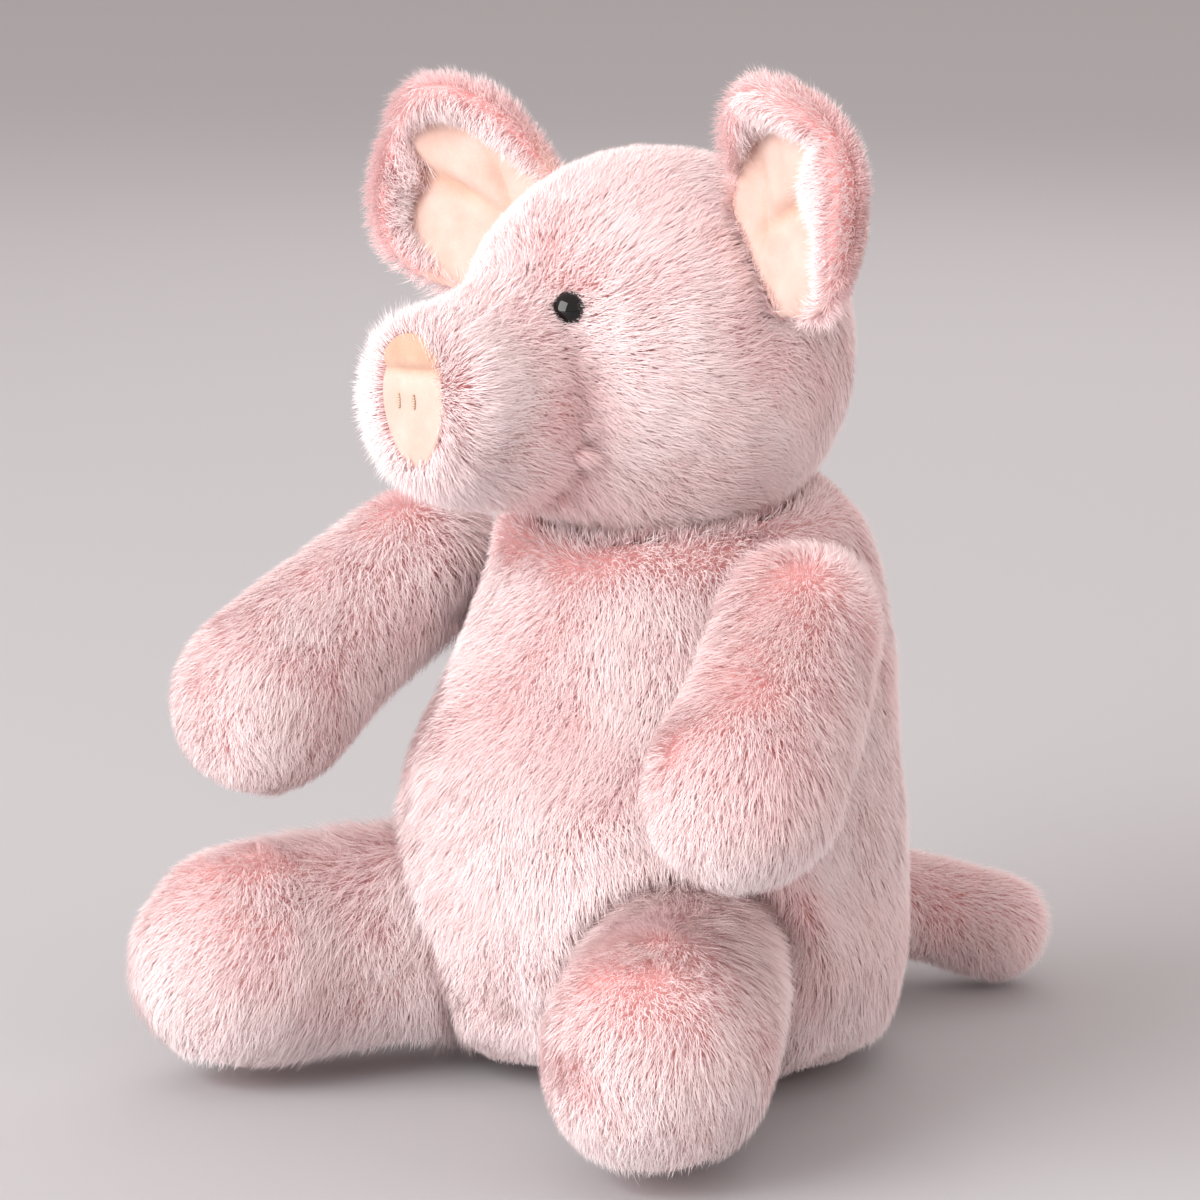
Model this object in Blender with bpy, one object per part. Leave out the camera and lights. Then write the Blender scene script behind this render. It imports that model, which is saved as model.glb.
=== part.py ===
"""Seated plush pig: sewn fur covers, their stuffing, safety eyes, nose pad, ears and tail.

Metres, +Z up. The pig faces -Y and its left side is +X.
The origin lies on the flat seat, on the surface that the toy sits on.
"""
import math

import bmesh
import bpy
from mathutils import Matrix, Vector

# Clearances and walls
GAP = 0.0003
BODY_WALL = 0.004
HEAD_WALL = 0.004
SNOUT_WALL = 0.0035
LIMB_WALL = 0.0035
TAIL_WALL = 0.003
OVERRUN = 0.004

# Body, a pear with an upright back and a belly that bulges forward
BODY_HEIGHT = 0.236
BODY_RADIUS = 0.097
BODY_LEAN = 0.020
BODY_HEIGHT_SHARES = (0.0, 0.008, 0.032, 0.085, 0.21, 0.38, 0.51, 0.65, 0.78, 0.87, 0.94, 0.985)
BODY_RADIUS_SHARES = (0.54, 0.65, 0.79, 0.91, 0.985, 1.0, 0.95, 0.865, 0.78, 0.71, 0.58, 0.30)
BODY_LEAN_SHARES = (1.10, 1.05, 0.85, 0.55, 0.25, 0.05, 0.20, 0.75, 1.0, 0.95, 0.90, 0.90)
PELLET_BAG_HEIGHT = 0.020
THROAT_DROP = 0.0200
THROAT_ANGLE = math.radians(38)

# Head, a ball that sits in the bowl of the neck seam
HEAD_RADIUS = 0.0740
HEAD_CENTRE = Vector((0.0, 0.004, 0.2700))
HEAD_REST_TURN = math.radians(-12)
HEAD_REST_ROLL = math.radians(-4)
NECK_HOLE_RADIUS = 0.026

# Snout, a blunt tube whose middle lies a little under the head's middle
SNOUT_RADIUS = 0.0400
SNOUT_LENGTH = 0.1140
SNOUT_DROP = 0.0090
SNOUT_LENGTH_SHARES = (0.36, 0.56, 0.74, 0.88, 0.955, 0.99, 1.0)
SNOUT_RADIUS_SHARES = (1.04, 1.01, 0.97, 0.94, 0.87, 0.78, 0.70)
SNOUT_DROP_SHARES = (1.85, 1.65, 1.25, 1.0, 1.0, 1.0, 1.0)

# Nose pad and its two nostril stitches
PAD_WIDTH = 0.042
PAD_HEIGHT = 0.048
PAD_THICKNESS = 0.0030
PAD_SEAT_DEPTH = 0.0016
NOSTRIL_WIDTH = 0.0022
NOSTRIL_HEIGHT = 0.0060
NOSTRIL_SPACING = 0.0100
NOSTRIL_RELIEF = 0.0006
NOSTRIL_TOP_SHARE = 0.7

# Eyes: a dome, its shank and the washer that locks it behind the cover
EYE_RADIUS = 0.0060
EYE_DOME_HEIGHT = 0.0046
EYE_SIDE = 0.0300
EYE_RISE = 0.0215
SHANK_RADIUS = 0.0018
SHANK_LENGTH = 0.0105
WASHER_RADIUS = 0.0065
WASHER_THICKNESS = 0.0015
WASHER_CLEARANCE = 0.0012
EYE_EDGE_SHARE = 0.96
EYE_RIM_SHARE = 0.14

# Ears: a furred leaf hinged along its root, with a thin lining on its front
EAR_ROOT_ANGLE = math.radians(30)
EAR_LEAN = math.radians(12)
EAR_ROOT_LENGTH = 0.058
EAR_ROOT_RADIUS = 0.0062
EAR_ROOT_SEAT = 0.0710
EAR_REACH = 0.084
EAR_WIDTH = 0.090
EAR_THICKNESS = 0.0150
EAR_CUP = 0.016
LINING_THICKNESS = 0.0024
EAR_SIDES = 20
EAR_STATION_SHARES = (0.0, 0.06, 0.18, 0.33, 0.52, 0.72, 0.87, 0.96, 1.0)
EAR_HALF_WIDTH_SHARES = (0.63, 0.66, 0.80, 0.93, 1.0, 0.94, 0.74, 0.48, 0.22)
EAR_THICKNESS_SHARES = (0.82, 0.62, 0.76, 0.95, 1.0, 0.95, 0.80, 0.60, 0.35)
EAR_ROOT_SHARES = (-0.94, -0.55)
LINING_STATIONS = (2, 7)
LINING_COLUMNS = (2, 8)

# Arms: tubes that lie against a flat on each side of the body and end in a plain paw
ARM_FLAT_DEPTH = 0.0670
ARM_FLAT_TILT = math.radians(14)
SHOULDER_RADIUS = 0.0285
ELBOW_RADIUS = 0.0310
PAW_RADIUS = 0.0355
SHOULDER_OUT = 0.0255
SHOULDER_FRONT = 0.0260
SHOULDER_HEIGHT = 0.1760
ARM_REACH = 0.078
ARM_ANGLE = math.radians(51)
ARM_SPREAD = 0.010
ELBOW_SPREAD_SHARE = 0.75
SHOULDER_HOLE_RADIUS = 0.010

# Legs: each root disc turns in a round pocket low on the body's side
LEG_POCKET_DEPTH = 0.0700
LEG_POCKET_ANGLE = math.radians(50)
LEG_POCKET_RADIUS = 0.0460
HIP_RADIUS = 0.0430
THIGH_RADIUS = 0.0425
FOOT_RADIUS = 0.0460
HIP_HEIGHT = 0.0495
FOOT_SIDE = 0.0970
FOOT_FRONT = 0.1130
FOOT_FLAT = 0.0005
KNEE_PUSH_SHARE = 0.18
HIP_HOLE_RADIUS = 0.016

# Tail, short and a little kinked
TAIL_ROOT_RADIUS = 0.0200
TAIL_RADIUS = 0.0180
TAIL_TIP_RADIUS = 0.0190
TAIL_HEIGHT = 0.0460
TAIL_REACH = 0.0660
TAIL_TIP_LIFT = 0.0050
TAIL_KINK = 0.0400
TAIL_ROOT_INSET = 0.0010
TAIL_BEND_REACH_SHARE = 0.55
TAIL_BEND_SIDE_SHARE = 0.35
TAIL_BEND_HEIGHT_SHARE = 0.78
TAIL_HOLE_RADIUS = 0.008

# Closing seam low on the back: one thread that zigzags over the two edges
STITCH_RADIUS = 0.0005
STITCH_WIDTH = 0.0050
STITCH_PITCH = 0.0055
STITCH_COUNT = 9
STITCH_BOTTOM = 0.0750

# Counts of sides, rings and stations
BODY_SIDES = 24
HEAD_SIDES = 24
LIMB_SIDES = 16
SNOUT_SIDES = 20
HEAD_RINGS = 12
EYE_SIDES = 14
EYE_RINGS = 4
TUBE_STATIONS = 5
HEAD_SEAT_SIDES = 28
NOSTRIL_SIDES = 10
SHARP_ANGLE = math.radians(40)
TUBE_END_SHARES = (0.35, 0.68, 0.9)

SIDE_SIGNS = (("left", 1), ("right", -1))
FRONT = Vector((0.0, -1.0, 0.0))
UP = Vector((0.0, 0.0, 1.0))
ACROSS = Vector((1.0, 0.0, 0.0))


def clear_scene():
    """Remove whatever the start-up file holds."""
    for thing in list(bpy.data.objects):
        bpy.data.objects.remove(thing, do_unlink=True)


def material(name, colour, roughness, metallic=0.0):
    """One Principled material."""
    made = bpy.data.materials.new(name)
    made.use_nodes = True
    shader = made.node_tree.nodes["Principled BSDF"]
    shader.inputs["Base Color"].default_value = (*colour, 1.0)
    shader.inputs["Roughness"].default_value = roughness
    shader.inputs["Metallic"].default_value = metallic
    return made


def add_object(name, mesh_maker, finish, smooth=True):
    """Turn a bmesh into a named object with its material."""
    mesh = bpy.data.meshes.new(name)
    bmesh.ops.triangulate(mesh_maker, faces=[f for f in mesh_maker.faces if len(f.verts) > 4])
    mesh_maker.to_mesh(mesh)
    mesh_maker.free()
    if smooth:
        mesh.shade_smooth()
        mesh.set_sharp_from_angle(angle=SHARP_ANGLE)
    made = bpy.data.objects.new(name, mesh)
    bpy.context.collection.objects.link(made)
    made.data.materials.append(finish)
    return made


def bridge(maker, first, second):
    """Join two rings of equal count, or a pole of one vertex to a ring."""
    count = max(len(first), len(second))
    for i in range(count):
        j = (i + 1) % count
        if len(first) == 1:
            maker.faces.new((first[0], second[j], second[i]))
        elif len(second) == 1:
            maker.faces.new((first[i], first[j], second[0]))
        else:
            maker.faces.new((first[i], first[j], second[j], second[i]))


def skin(rings, close_loop=False, cap_start=True, cap_end=True):
    """Closed surface through rings of points; close_loop joins the last ring to the first."""
    maker = bmesh.new()
    made = [[maker.verts.new(point) for point in ring] for ring in rings]
    for first, second in zip(made, made[1:]):
        bridge(maker, first, second)
    if close_loop:
        bridge(maker, made[-1], made[0])
    else:
        if cap_start and len(made[0]) > 1:
            maker.faces.new(list(reversed(made[0])))
        if cap_end and len(made[-1]) > 1:
            maker.faces.new(made[-1])
    bmesh.ops.recalc_face_normals(maker, faces=maker.faces)
    return maker


def circle(centre, side_a, side_b, radius_a, radius_b, count):
    """Points round an ellipse that spans two directions."""
    points = []
    for i in range(count):
        turn = 2 * math.pi * i / count
        along_a = side_a * (radius_a * math.cos(turn))
        along_b = side_b * (radius_b * math.sin(turn))
        points.append(centre + along_a + along_b)
    return points


def cut(target, cutter_list):
    """Exact Boolean differences, with the cutters hidden."""
    for cutter in cutter_list:
        cutter.hide_render = True
        cutter.display_type = "WIRE"
        step = target.modifiers.new("cut_" + cutter.name, "BOOLEAN")
        step.operation = "DIFFERENCE"
        step.object = cutter
        step.solver = "EXACT"


def cut_plane(maker, point, normal):
    """Keep what lies behind a plane and close the cut."""
    cut_result = bmesh.ops.bisect_plane(
        maker,
        geom=list(maker.verts) + list(maker.edges) + list(maker.faces),
        plane_co=point,
        plane_no=normal,
        clear_outer=True,
    )
    edges = [item for item in cut_result["geom_cut"] if isinstance(item, bmesh.types.BMEdge)]
    bmesh.ops.holes_fill(maker, edges=[e for e in edges if e.is_boundary], sides=0)
    bmesh.ops.recalc_face_normals(maker, faces=maker.faces)


# Body
def body_rings(inset, first_height, last_height):
    """Rings of the pear between two heights, drawn in by an inset."""
    heights = [BODY_HEIGHT * share for share in BODY_HEIGHT_SHARES]
    rings = []
    for height, radius_share, lean_share in zip(heights, BODY_RADIUS_SHARES, BODY_LEAN_SHARES):
        if height <= first_height or height >= last_height:
            continue
        rings.append(body_ring_at(height, inset))
    return [body_ring_at(first_height, inset)] + rings + [body_ring_at(last_height, inset)]


def body_section(height):
    """Radius and lean of the pear at one height, read between its shares."""
    share = height / BODY_HEIGHT
    table = list(zip(BODY_HEIGHT_SHARES, BODY_RADIUS_SHARES, BODY_LEAN_SHARES))
    for low, high in zip(table, table[1:]):
        if share <= high[0]:
            part = max(0.0, (share - low[0]) / (high[0] - low[0]))
            radius = BODY_RADIUS * (low[1] + (high[1] - low[1]) * part)
            lean = BODY_LEAN * (low[2] + (high[2] - low[2]) * part)
            return radius, lean
    return BODY_RADIUS * table[-1][1], BODY_LEAN * table[-1][2]


def body_ring_at(height, inset):
    """One level ring of the pear."""
    radius, lean = body_section(height)
    centre = Vector((0.0, lean, height))
    return circle(centre, ACROSS, -FRONT, radius - inset, radius - inset, BODY_SIDES)


def arm_plane(sign, clearance):
    """A point on the plane that an arm lies against, and its outward normal."""
    normal = Vector((sign * math.cos(ARM_FLAT_TILT), 0.0, math.sin(ARM_FLAT_TILT)))
    point = Vector((sign * ARM_FLAT_DEPTH, 0.0, SHOULDER_HEIGHT)) + normal * clearance
    return point, normal


def hip_frame(sign):
    """Middle of the round seat of a leg on the body, and the axis that the leg turns about."""
    axis = Vector((sign * math.sin(LEG_POCKET_ANGLE), -math.cos(LEG_POCKET_ANGLE), 0.0))
    return axis * LEG_POCKET_DEPTH + UP * HIP_HEIGHT, axis


def trim_body(maker, clearance):
    """Flatten the pear where the arms lie against it, and under the jaw."""
    for _, sign in SIDE_SIGNS:
        point, normal = arm_plane(sign, -clearance)
        cut_plane(maker, point, normal)
    throat = Vector((0.0, -math.sin(THROAT_ANGLE), math.cos(THROAT_ANGLE)))
    cut_plane(maker, HEAD_CENTRE + throat * -(THROAT_DROP + clearance), throat)


def leg_pocket_cutter(name, sign, wall):
    """A hidden cylinder that hollows the round seat of a leg, grown by a wall."""
    centre, axis = hip_frame(sign)
    reach = LEG_POCKET_RADIUS + wall
    bore = revolved(((reach, -wall), (reach, LEG_POCKET_DEPTH)), 2 * LIMB_SIDES)
    bmesh.ops.transform(bore, matrix=Matrix.Translation(centre) @ turned(axis), verts=bore.verts)
    return add_object(name, bore, FINISHES["guide"])


def ball_cutter(name, centre, radius, sides):
    """A hidden ball that hollows a seat, with its flats a gap clear of the ball that turns there."""
    reach = (radius + GAP) / math.cos(math.pi / sides) ** 2
    maker = bmesh.new()
    bmesh.ops.create_uvsphere(maker, u_segments=sides, v_segments=sides, radius=reach)
    bmesh.ops.translate(maker, verts=maker.verts, vec=centre)
    return add_object(name, maker, FINISHES["guide"])


def make_body():
    """Cover, stuffing and pellet bag of the body."""
    top = BODY_HEIGHT * BODY_HEIGHT_SHARES[-1]
    outer = skin(body_rings(0.0, 0.0, top))
    trim_body(outer, 0.0)
    cover = add_object("body_cover", outer, FINISHES["fur"])

    floor_height = BODY_WALL
    inner_top = top - BODY_WALL
    core = skin(body_rings(BODY_WALL, floor_height, inner_top))
    trim_body(core, BODY_WALL)
    hollow = add_object("body_hollow_guide", core, FINISHES["guide"])

    bag_top = floor_height + PELLET_BAG_HEIGHT
    filling = skin(body_rings(BODY_WALL + GAP, bag_top + GAP, inner_top - GAP))
    trim_body(filling, BODY_WALL + GAP)
    stuffing = add_object("body_stuffing", filling, FINISHES["fibre"])

    bag_shape = skin(body_rings(BODY_WALL + GAP, floor_height + GAP, bag_top))
    bag = add_object("pellet_bag", bag_shape, FINISHES["pellets"])

    tail_centre, _ = tail_root()
    head_seat = ball_cutter("head_seat_guide", HEAD_CENTRE, HEAD_RADIUS, HEAD_SEAT_SIDES)
    tail_seat = ball_cutter("tail_seat_guide", tail_centre, TAIL_ROOT_RADIUS + GAP, LIMB_SIDES)
    leg_seats = [leg_pocket_cutter(f"leg_seat_guide_{side}", sign, 0.0) for side, sign in SIDE_SIGNS]
    cut(cover, [hollow, head_seat, tail_seat] + leg_seats)
    cut(stuffing, [head_seat, tail_seat] + leg_seats)
    cut(bag, leg_seats + [tail_seat])


# Head
def head_matrix():
    """From the head's own frame to the part's frame."""
    turn = Matrix.Rotation(HEAD_REST_TURN, 4, "Z") @ Matrix.Rotation(HEAD_REST_ROLL, 4, "Y")
    return Matrix.Translation(HEAD_CENTRE) @ turn


def head_empty():
    """The empty at the neck that carries every piece of the head."""
    neck = bpy.data.objects.new("neck_axis", None)
    bpy.context.collection.objects.link(neck)
    neck.matrix_world = head_matrix()
    return neck


def ball_rings(radius, start_angle):
    """Rings of a ball from an opening at the bottom up to its top pole."""
    rings = []
    for i in range(HEAD_RINGS):
        angle = start_angle + (math.pi - start_angle) * i / HEAD_RINGS
        height = -radius * math.cos(angle)
        around = radius * math.sin(angle)
        rings.append(circle(UP * height, ACROSS, -FRONT, around, around, HEAD_SIDES))
    rings.append([UP * radius])
    return rings


def eye_direction(sign):
    """Outward direction of an eye from the head's middle."""
    forward = math.sqrt(HEAD_RADIUS**2 - EYE_SIDE**2 - EYE_RISE**2)
    return Vector((sign * EYE_SIDE, -forward, EYE_RISE)).normalized()


def turned(direction):
    """Rotation that takes +Z to a direction."""
    return direction.to_track_quat("Z", "Y").to_matrix().to_4x4()


def revolved(profile, sides):
    """Closed turned solid from (radius, height) points, from its bottom to its top."""
    rings = []
    for radius, height in profile:
        centre = UP * height
        if radius == 0:
            rings.append([centre])
        else:
            rings.append(circle(centre, ACROSS, -FRONT, radius, radius, sides))
    return skin(rings)


def make_head(neck):
    """Cover and stuffing of the head, with the holes and pockets of the eyes."""
    outer_start = math.asin(NECK_HOLE_RADIUS / HEAD_RADIUS)
    inner_radius = HEAD_RADIUS - HEAD_WALL
    inner_start = math.asin(NECK_HOLE_RADIUS / inner_radius)
    shell = ball_rings(HEAD_RADIUS, outer_start) + list(reversed(ball_rings(inner_radius, inner_start)))
    maker = bmesh.new()
    made = [[maker.verts.new(point) for point in ring] for ring in shell]
    half = len(made) // 2
    for first, second in list(zip(made[:half], made[1:half])) + list(zip(made[half:], made[half + 1:])):
        bridge(maker, first, second)
    bridge(maker, made[-1], made[0])
    bmesh.ops.recalc_face_normals(maker, faces=maker.faces)
    cover = add_object("head_cover", maker, FINISHES["fur"])
    filling_radius = inner_radius - GAP
    filling = skin(ball_rings(filling_radius, math.asin(NECK_HOLE_RADIUS / filling_radius)))
    stuffing = add_object("head_stuffing", filling, FINISHES["fibre"])
    cover.parent = neck
    stuffing.parent = neck

    holes = []
    pockets = []
    for side, sign in SIDE_SIGNS:
        direction = eye_direction(sign)
        reach = SHANK_RADIUS + GAP
        bore = revolved(((reach, -SHANK_LENGTH - OVERRUN), (reach, OVERRUN)), EYE_SIDES)
        hole = add_object(f"eye_hole_guide_{side}", bore, FINISHES["guide"])
        place = Matrix.Translation(direction * HEAD_RADIUS) @ turned(direction)
        hole.parent = neck
        hole.matrix_basis = place
        holes.append(hole)
        wide = WASHER_RADIUS + GAP
        deep = HEAD_WALL + WASHER_CLEARANCE + WASHER_THICKNESS + GAP
        room = revolved(((wide, -deep), (wide, OVERRUN)), EYE_SIDES)
        pocket = add_object(f"washer_pocket_guide_{side}", room, FINISHES["guide"])
        pocket.parent = neck
        pocket.matrix_basis = place
        pockets.append(pocket)
    ear_groove_guides = ear_grooves(neck)
    cut(cover, holes + ear_groove_guides)
    cut(stuffing, pockets + holes + ear_groove_guides)


def make_eyes(neck):
    """Domed eyes on their shanks, and the washers behind the cover."""
    for side, sign in SIDE_SIGNS:
        direction = eye_direction(sign)
        base = EYE_RADIUS**2 / HEAD_RADIUS / 2
        profile = [(SHANK_RADIUS, -SHANK_LENGTH), (SHANK_RADIUS, base + GAP)]
        profile.append((EYE_RADIUS * EYE_EDGE_SHARE, base + GAP))
        profile.append((EYE_RADIUS, base + GAP + EYE_DOME_HEIGHT * EYE_RIM_SHARE))
        for step in range(1, EYE_RINGS):
            angle = math.pi / 2 * step / EYE_RINGS
            rise = EYE_RIM_SHARE + (1 - EYE_RIM_SHARE) * math.sin(angle)
            profile.append((EYE_RADIUS * math.cos(angle), base + GAP + EYE_DOME_HEIGHT * rise))
        profile.append((0, base + GAP + EYE_DOME_HEIGHT))
        eye = add_object(f"eye_{side}", revolved(profile, EYE_SIDES), FINISHES["eye"])
        place = Matrix.Translation(direction * HEAD_RADIUS) @ turned(direction)
        eye.parent = neck
        eye.matrix_basis = place
        top = -HEAD_WALL - WASHER_CLEARANCE
        bottom = top - WASHER_THICKNESS
        inner = SHANK_RADIUS + GAP
        rings = []
        for radius, height in ((WASHER_RADIUS, bottom), (WASHER_RADIUS, top), (inner, top), (inner, bottom)):
            rings.append(circle(UP * height, ACROSS, -FRONT, radius, radius, EYE_SIDES))
        washer = add_object(f"eye_washer_{side}", skin(rings, close_loop=True), FINISHES["washer"])
        washer.parent = neck
        washer.matrix_basis = place


# Snout
def snout_ring(share, radius_share, drop_share, inset, end_inset):
    """One ring of the snout, at a share of its length."""
    along = (SNOUT_LENGTH - end_inset) * share
    centre = FRONT * along - UP * (SNOUT_DROP * drop_share)
    radius = SNOUT_RADIUS * radius_share - inset
    return circle(centre, ACROSS, UP, radius, radius, SNOUT_SIDES)


def snout_rings(inset, end_inset):
    """Rings of the snout from inside the head to its blunt end."""
    rings = []
    for share, radius_share, drop_share in zip(SNOUT_LENGTH_SHARES, SNOUT_RADIUS_SHARES, SNOUT_DROP_SHARES):
        rings.append(snout_ring(share, radius_share, drop_share, inset, end_inset))
    return rings


def pad_ring(along, grow):
    """The oval of the nose pad at a distance in front of the head's middle."""
    centre = FRONT * along - UP * SNOUT_DROP
    return circle(centre, ACROSS, UP, PAD_WIDTH / 2 + grow, PAD_HEIGHT / 2 + grow, SNOUT_SIDES)


def snout_pole(along):
    """The middle of the snout at a distance in front of the head's middle."""
    return [FRONT * along - UP * SNOUT_DROP]


def make_snout(neck):
    """Cover, stuffing, nose pad and nostril stitches of the snout."""
    seat = SNOUT_LENGTH - PAD_SEAT_DEPTH
    floor = seat - SNOUT_WALL
    end_inset = SNOUT_LENGTH - floor
    rings = snout_rings(0.0, 0.0)
    rings += [pad_ring(SNOUT_LENGTH, GAP), pad_ring(seat, GAP), snout_pole(seat)]
    rings.reverse()
    rings += snout_rings(SNOUT_WALL, end_inset)
    rings.append(snout_pole(floor))
    cover = add_object("snout_cover", skin(rings), FINISHES["fur"])
    filling = snout_rings(SNOUT_WALL + GAP, end_inset + GAP) + [snout_pole(floor - GAP)]
    stuffing = add_object("snout_stuffing", skin(filling), FINISHES["fibre"])

    back = seat + GAP
    front = back + PAD_THICKNESS
    crown = front + PAD_SEAT_DEPTH / 2
    pad_points = [snout_pole(back), pad_ring(back, 0.0), pad_ring(front, 0.0)]
    pad_points += [pad_ring(crown, -PAD_THICKNESS), snout_pole(crown)]
    pad = add_object("nose_pad", skin(pad_points), FINISHES["velboa"])

    for side, sign in SIDE_SIGNS:
        centre = FRONT * (crown + GAP) - UP * SNOUT_DROP + ACROSS * (sign * NOSTRIL_SPACING / 2)
        oval = []
        for depth, share in ((0.0, 1.0), (NOSTRIL_RELIEF, NOSTRIL_TOP_SHARE)):
            middle = centre + FRONT * depth
            wide = NOSTRIL_WIDTH / 2 * share
            tall = NOSTRIL_HEIGHT / 2 * share
            oval.append(circle(middle, ACROSS, UP, wide, tall, NOSTRIL_SIDES))
        add_object(f"nostril_stitch_{side}", skin(oval), FINISHES["thread"]).parent = neck

    same_ball = skin(ball_rings(HEAD_RADIUS + GAP, math.asin(NECK_HOLE_RADIUS / HEAD_RADIUS)))
    guide = add_object("snout_seat_guide", same_ball, FINISHES["guide"])
    for piece in (cover, stuffing, pad, guide):
        piece.parent = neck
    cut(cover, [guide])
    cut(stuffing, [guide])


# Ears
def ear_matrix(sign):
    """From an ear's frame to the head's: X runs down the root, Y out of the head, Z to the front."""
    outward = Vector((sign * math.cos(EAR_ROOT_ANGLE), 0.0, math.sin(EAR_ROOT_ANGLE)))
    down = Vector((sign * math.sin(EAR_ROOT_ANGLE), 0.0, -math.cos(EAR_ROOT_ANGLE)))
    reach = (outward * math.cos(EAR_LEAN) + FRONT * math.sin(EAR_LEAN)).normalized()
    front = down.cross(reach) * sign
    rotation = Matrix((down, reach, front)).transposed().to_4x4()
    return Matrix.Translation(outward * EAR_ROOT_SEAT) @ rotation


def ear_section(station):
    """Distance from the root, half width, half thickness and cup of one section of an ear."""
    share = EAR_STATION_SHARES[station]
    along = EAR_REACH * share
    half_width = EAR_WIDTH / 2 * EAR_HALF_WIDTH_SHARES[station]
    half_thickness = EAR_THICKNESS / 2 * EAR_THICKNESS_SHARES[station]
    cup = EAR_CUP * share * EAR_HALF_WIDTH_SHARES[station] ** 2
    return along, half_width, half_thickness, cup


def ear_point(station, column, lift):
    """A point on an ear's skin; lift moves it to the front."""
    along, half_width, half_thickness, cup = ear_section(station)
    turn = 2 * math.pi * column / EAR_SIDES
    across = math.cos(turn)
    front = half_thickness * math.sin(turn) + cup * across**2 + lift
    return Vector((half_width * across, along, front))


def make_ears(neck):
    """Furred outer and lining of each ear, on an empty that lies along its root."""
    for side, sign in SIDE_SIGNS:
        hinge = bpy.data.objects.new(f"ear_axis_{side}", None)
        bpy.context.collection.objects.link(hinge)
        hinge.parent = neck
        hinge.matrix_basis = ear_matrix(sign)
        rings = []
        for share in EAR_ROOT_SHARES:
            round_half = EAR_ROOT_RADIUS * math.sqrt(1 - share**2)
            centre = -FRONT * (EAR_ROOT_RADIUS * share)
            half_root = EAR_ROOT_LENGTH / 2
            rings.append(circle(centre, ACROSS, UP, half_root, round_half, EAR_SIDES))
        for station in range(len(EAR_STATION_SHARES)):
            rings.append([ear_point(station, column, 0.0) for column in range(EAR_SIDES)])
        outer = add_object(f"ear_outer_{side}", skin(rings), FINISHES["fur"])
        outer.parent = hinge

        first, last = LINING_STATIONS
        low, high = LINING_COLUMNS
        rings = []
        for station in range(first, last + 1):
            columns = range(low, high + 1)
            back = [ear_point(station, column, GAP) for column in columns]
            front = [ear_point(station, column, GAP + LINING_THICKNESS) for column in reversed(columns)]
            rings.append(back + front)
        lining = add_object(f"ear_lining_{side}", skin(rings), FINISHES["velboa"])
        lining.parent = hinge


def ear_grooves(neck):
    """Hidden round bars that hollow the grooves of the two ear roots."""
    bars = []
    for side, sign in SIDE_SIGNS:
        reach = EAR_ROOT_RADIUS + GAP
        half = EAR_ROOT_LENGTH / 2 + GAP
        bar = revolved(((reach, -half), (reach, half)), LIMB_SIDES)
        guide = add_object(f"ear_groove_guide_{side}", bar, FINISHES["guide"])
        guide.parent = neck
        guide.matrix_basis = ear_matrix(sign) @ Matrix.Rotation(math.pi / 2, 4, "Y")
        bars.append(guide)
    return bars


# Limbs
def tube_rings(stations, inset, round_start, round_end):
    """Rings of a stuffed tube through (centre, radius, axis) stations, with rounded ends where asked."""
    rings = []
    if round_start:
        centre, radius, axis = stations[0]
        for step in reversed(TUBE_END_SHARES):
            angle = math.pi / 2 * step
            middle = centre - axis * ((radius - inset) * math.sin(angle))
            rings.append(square_ring(middle, axis, (radius - inset) * math.cos(angle)))
    for centre, radius, axis in stations:
        rings.append(square_ring(centre, axis, radius - inset))
    if round_end:
        centre, radius, axis = stations[-1]
        for step in TUBE_END_SHARES:
            angle = math.pi / 2 * step
            middle = centre + axis * ((radius - inset) * math.sin(angle))
            rings.append(square_ring(middle, axis, (radius - inset) * math.cos(angle)))
    return rings


def square_ring(centre, axis, radius):
    """A ring square to an axis, with its first point held to one side."""
    side = axis.cross(UP)
    side.normalize()
    other = side.cross(axis)
    return circle(centre, side, other, radius, radius, LIMB_SIDES)


def smooth_stations(points, count):
    """Stations on a smooth path through three (centre, radius) points, each with its tangent."""
    (first, r_first), (middle, r_middle), (last, r_last) = points
    bend = middle * 2 - (first + last) / 2
    r_bend = r_middle * 2 - (r_first + r_last) / 2
    stations = []
    for i in range(count):
        t = i / (count - 1)
        centre = first * (1 - t) ** 2 + bend * (2 * t * (1 - t)) + last * t**2
        tangent = (bend - first) * (1 - t) + (last - bend) * t
        radius = r_first * (1 - t) ** 2 + r_bend * (2 * t * (1 - t)) + r_last * t**2
        stations.append((centre, radius, tangent.normalized()))
    return stations


def arm_frame(sign):
    """Shoulder middle, the direction of the arm, and the axis that it swings about."""
    point, normal = arm_plane(sign, 0.0)
    shoulder = point + normal * SHOULDER_OUT + FRONT * SHOULDER_FRONT
    down = (-UP + normal * normal.z).normalized()
    return shoulder, down * math.cos(ARM_ANGLE) + FRONT * math.sin(ARM_ANGLE), normal


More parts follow.
